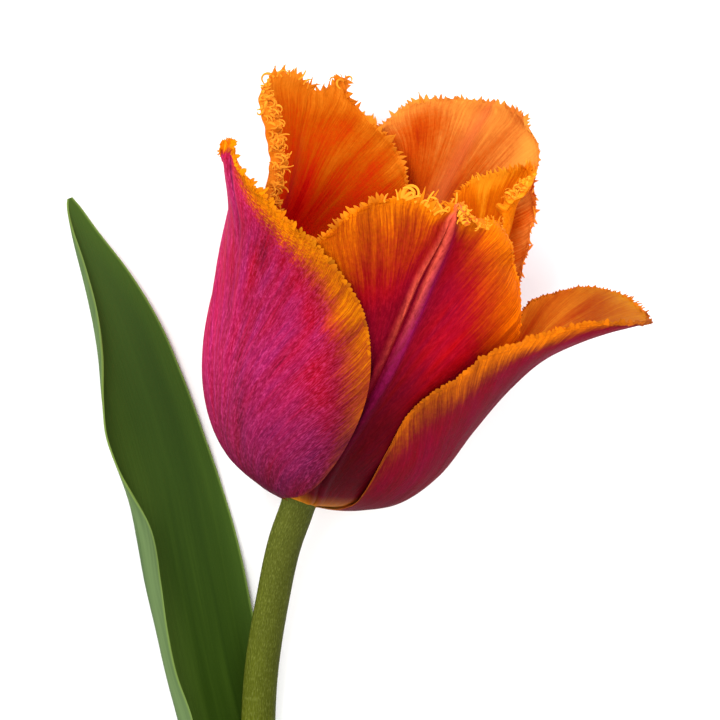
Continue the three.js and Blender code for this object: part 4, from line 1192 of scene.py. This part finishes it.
def leaf():
    y = np.linspace(LEAF_STATIONS[0][0], LEAF_STATIONS[-1][0], LEAF_ROWS)
    stations = interpolate([row[0] for row in LEAF_STATIONS], LEAF_STATIONS, y)
    x, height, roll, left, right, left_curl, left_edge, right_curl = stations[:, 1:].T
    rib = np.stack([FLOWER_BASE[0] + x, FLOWER_BASE[1] + y, height], axis=1)
    forward = unit(np.gradient(rib, axis=0))
    side = unit(np.cross(forward, [0, 0, 1.0]))
    up = np.cross(side, forward)
    shares = np.linspace(0, 1, LEAF_COLUMNS // 2)
    out_l, up_l = half_section(left, left_curl, left_edge, roll, shares)
    out_r, up_r = half_section(right, right_curl, np.zeros_like(roll), -roll, shares[1:])
    out = np.concatenate([-out_l[:, ::-1], out_r], axis=1)
    rise = np.concatenate([up_l[:, ::-1], up_r], axis=1)
    points = rib[:, None] + out[..., None] * side[:, None] + rise[..., None] * up[:, None]
    across = np.concatenate([-shares[::-1][None] * left[:, None], shares[1:][None] * right[:, None]], axis=1)
    edge = np.minimum(left[:, None] + across, right[:, None] - across)
    inner_share = smooth(0, LEAF_EDGE_WIDTH, edge)
    thickness = LEAF_EDGE_THICKNESS + (LEAF_MIDDLE_THICKNESS - LEAF_EDGE_THICKNESS) * inner_share
    half = surface_normals(points) * thickness[..., None] / 2
    along = np.broadcast_to((y - y[0])[:, None], edge.shape)
    solid = Solid("along", "across", "edge", "from_left", "from_right", "inner")
    add_blade(solid, points + half, points - half, along=along, across=across, edge=edge,
              from_left=left[:, None] + across, from_right=right[:, None] - across,
              inner=(np.ones_like(edge), np.zeros_like(edge)))
    solid.make("leaf_skin", leaf_material(), node="leaf")


# ---- Pistil and stamens ----

# (height along the flower's axis, radius)
PISTIL_PROFILE = [(1.5, 1.8), (3, 2.3), (6, 2.8), (11, 3.0), (15, 2.7), (17.5, 2.3), (18.6, 3.2),
                  (20, 3.9), (21.2, 3.3), (21.6, 1.6)]
PISTIL_SIDES = 120
STIGMA_HEIGHT = 18.0
STIGMA_LOBES = 3
STIGMA_FRILLS = 27
STAMEN_AZIMUTHS = [10 + 60 * k for k in range(6)]
# (height along the flower's axis, distance from it)
FILAMENT_LINE = [(1.9, 2.9), (6, 4.9), (11.4, 6.5)]
FILAMENT_RADII = (0.6, 0.38)
FILAMENT_SIDES = 20
ANTHER_LINE = [(11.4, 6.6), (16, 7.25), (21, 7.6)]
ANTHER_RADIUS = 1.05
ANTHER_SWAY = 2              # degrees that an anther bends aside


def organ_material(name, low, high, colours, fleck, share):
    """Colours from base to tip between two heights, with streaks, and flecks that cover up to a share."""
    n = Nodes(name)
    along, turn = n.attributes("along", "turn")
    streak = n.noise(n.vector(turn * 3.0, along * 0.25), detail=3.0)
    grain = n.noise(n.vector(turn * 4.0, along * 4.0), detail=3.0)
    tone = along.scaled(low, high) + streak.swing(-0.12, 0.12)
    colour = n.mix(grain.scaled(0.48, 0.68, 0.0, share), n.ramp(tone, colours), fleck)
    n.bump(streak + grain, ORGAN_BUMP)
    return n.finish(colour, grain.swing(0.5, 0.7), 0.2)


def pistil():
    """Three-sided ovary under a frilled stigma of three lobes."""
    height = np.linspace(PISTIL_PROFILE[0][0], PISTIL_PROFILE[-1][0], 120)
    top = smooth(STIGMA_HEIGHT - 0.6, STIGMA_HEIGHT + 1.6, height)[:, None]

    def shape(turns):
        lobes = 1 + (0.1 + 0.14 * top) * np.cos(STIGMA_LOBES * turns)
        frill = 0.06 * top * np.sin(STIGMA_FRILLS * turns + 3 * np.sin(height[:, None] * 2))
        return (lobes + frill) / (1 + 0.08 * top)

    solid = Solid("along", "turn")
    add_rod(solid, on_axis(height), profile(PISTIL_PROFILE, height), PISTIL_SIDES, shape, along=height)
    colours = [(0, 120, 132, 60), (0.5, 150, 160, 84), (0.8, 176, 176, 96), (0.86, 214, 200, 120),
               (1, 232, 220, 150)]
    skin = organ_material("pistil", 1.5, 21.5, colours, (220, 212, 140), 0.5)
    solid.make("pistil_skin", skin, node="pistil")


def stamens():
    """Six filaments with a four-sided anther each."""
    t = np.linspace(0, 1, 48)
    ends = (1 - np.abs(2 * t - 1) ** 5) ** 0.5 * 0.95 + 0.05
    thread = organ_material("filament", 2, 11.4, [(0, 150, 140, 50), (0.4, 196, 170, 60), (1, 216, 186, 90)],
                            (120, 70, 60), 0.3)
    sack = organ_material("anther", 11.4, 21, [(0, 44, 22, 40), (0.5, 52, 26, 48), (1, 40, 20, 38)],
                          (150, 120, 60), 0.55)

    def four_sided(turns):
        return 0.84 + 0.13 * np.cos(4 * turns) + 0.03 * np.cos(2 * turns)

    radii = np.interp(t, (0, 1), FILAMENT_RADII)
    parts = {"filament": (FILAMENT_LINE, 0, radii, FILAMENT_SIDES, None, thread),
             "anther": (ANTHER_LINE, ANTHER_SWAY, ANTHER_RADIUS * ends, ROD_SIDES, four_sided, sack)}
    for number, azimuth in enumerate(STAMEN_AZIMUTHS, 1):
        for part, (stations, sway, radii, sides, shape, skin) in parts.items():
            keys = [row[0] for row in stations]
            line = interpolate(keys, stations, keys[0] + (keys[-1] - keys[0]) * t)
            path = in_flower(np.column_stack([line, azimuth + sway * np.sin(3 * t + number)]))
            solid = Solid("along", "turn")
            add_rod(solid, path, radii, sides, shape, along=line[:, 0])
            solid.make(f"{part}_{number}_skin", skin, node=f"{part}_{number}")


# ---- Setting ----

# In metres and watts
LIGHT_TARGET = (0.0, 0.07, 0.02)
LIGHT_SIZE = 0.35
LIGHTS = {"key": ((-0.28, 0.28, 0.80), 3.4), "fill": ((0.30, -0.05, 0.85), 2.2)}      # place and power
SKY_STRENGTH = 1.25
FLOOR_HALF = 4.0


def camera():
    data = bpy.data.cameras.new("camera")
    data.sensor_width = 36.0
    data.lens = data.sensor_width * (CAMERA_HEIGHT - PLANE_HEIGHT) / VIEW_WIDTH
    data.clip_end = 10.0
    made = new_object("camera", data)
    made.location = Vector((*CAMERA_CENTRE, CAMERA_HEIGHT)) * MM
    bpy.context.scene.camera = made


def area_light(name, place, power):
    data = bpy.data.lights.new(name, "AREA")
    data.shape = "DISK"
    data.size = LIGHT_SIZE
    data.energy = power
    made = new_object(name, data)
    made.location = Vector(place)
    made.rotation_mode = "QUATERNION"
    made.rotation_quaternion = (Vector(LIGHT_TARGET) - Vector(place)).to_track_quat("-Z", "Y")
    made.visible_camera = False


def floor():
    n = Nodes("floor")
    grain = n.noise(n.node("ShaderNodeTexCoord", output="Object"), scale=60.0)
    n.finish(n.ramp(grain, [(0.3, 253, 253, 253), (0.7, 255, 255, 255)]), 0.9, 0.1)
    corners = [(x * FLOOR_HALF, y * FLOOR_HALF, 0) for x, y in ((-1, -1), (1, -1), (1, 1), (-1, 1))]
    mesh = bpy.data.meshes.new("floor")
    mesh.from_pydata(corners, [], [(0, 1, 2, 3)])
    mesh.materials.append(n.material)
    made = new_object("floor", mesh)


def world():
    made = bpy.data.worlds.new("studio")
    made.use_nodes = True
    background = made.node_tree.nodes["Background"]
    background.inputs["Color"].default_value = (1.0, 1.0, 1.0, 1.0)
    background.inputs["Strength"].default_value = SKY_STRENGTH
    bpy.context.scene.world = made


# ---- Build ----

bpy.context.scene.view_settings.view_transform = "Standard"
camera()
world()
floor()
for name, (place, power) in LIGHTS.items():
    area_light(name, place, power)

for number, (name, spec) in enumerate(TEPALS.items()):
    outside, inside = spec["skins"]
    skin = tepal_material(name + "_skin", OUTSIDES[outside], INSIDES[inside], float(number))
    tepal(name, skin, name.split("_")[0] + "_tepal")
stem()
leaf()
pistil()
stamens()
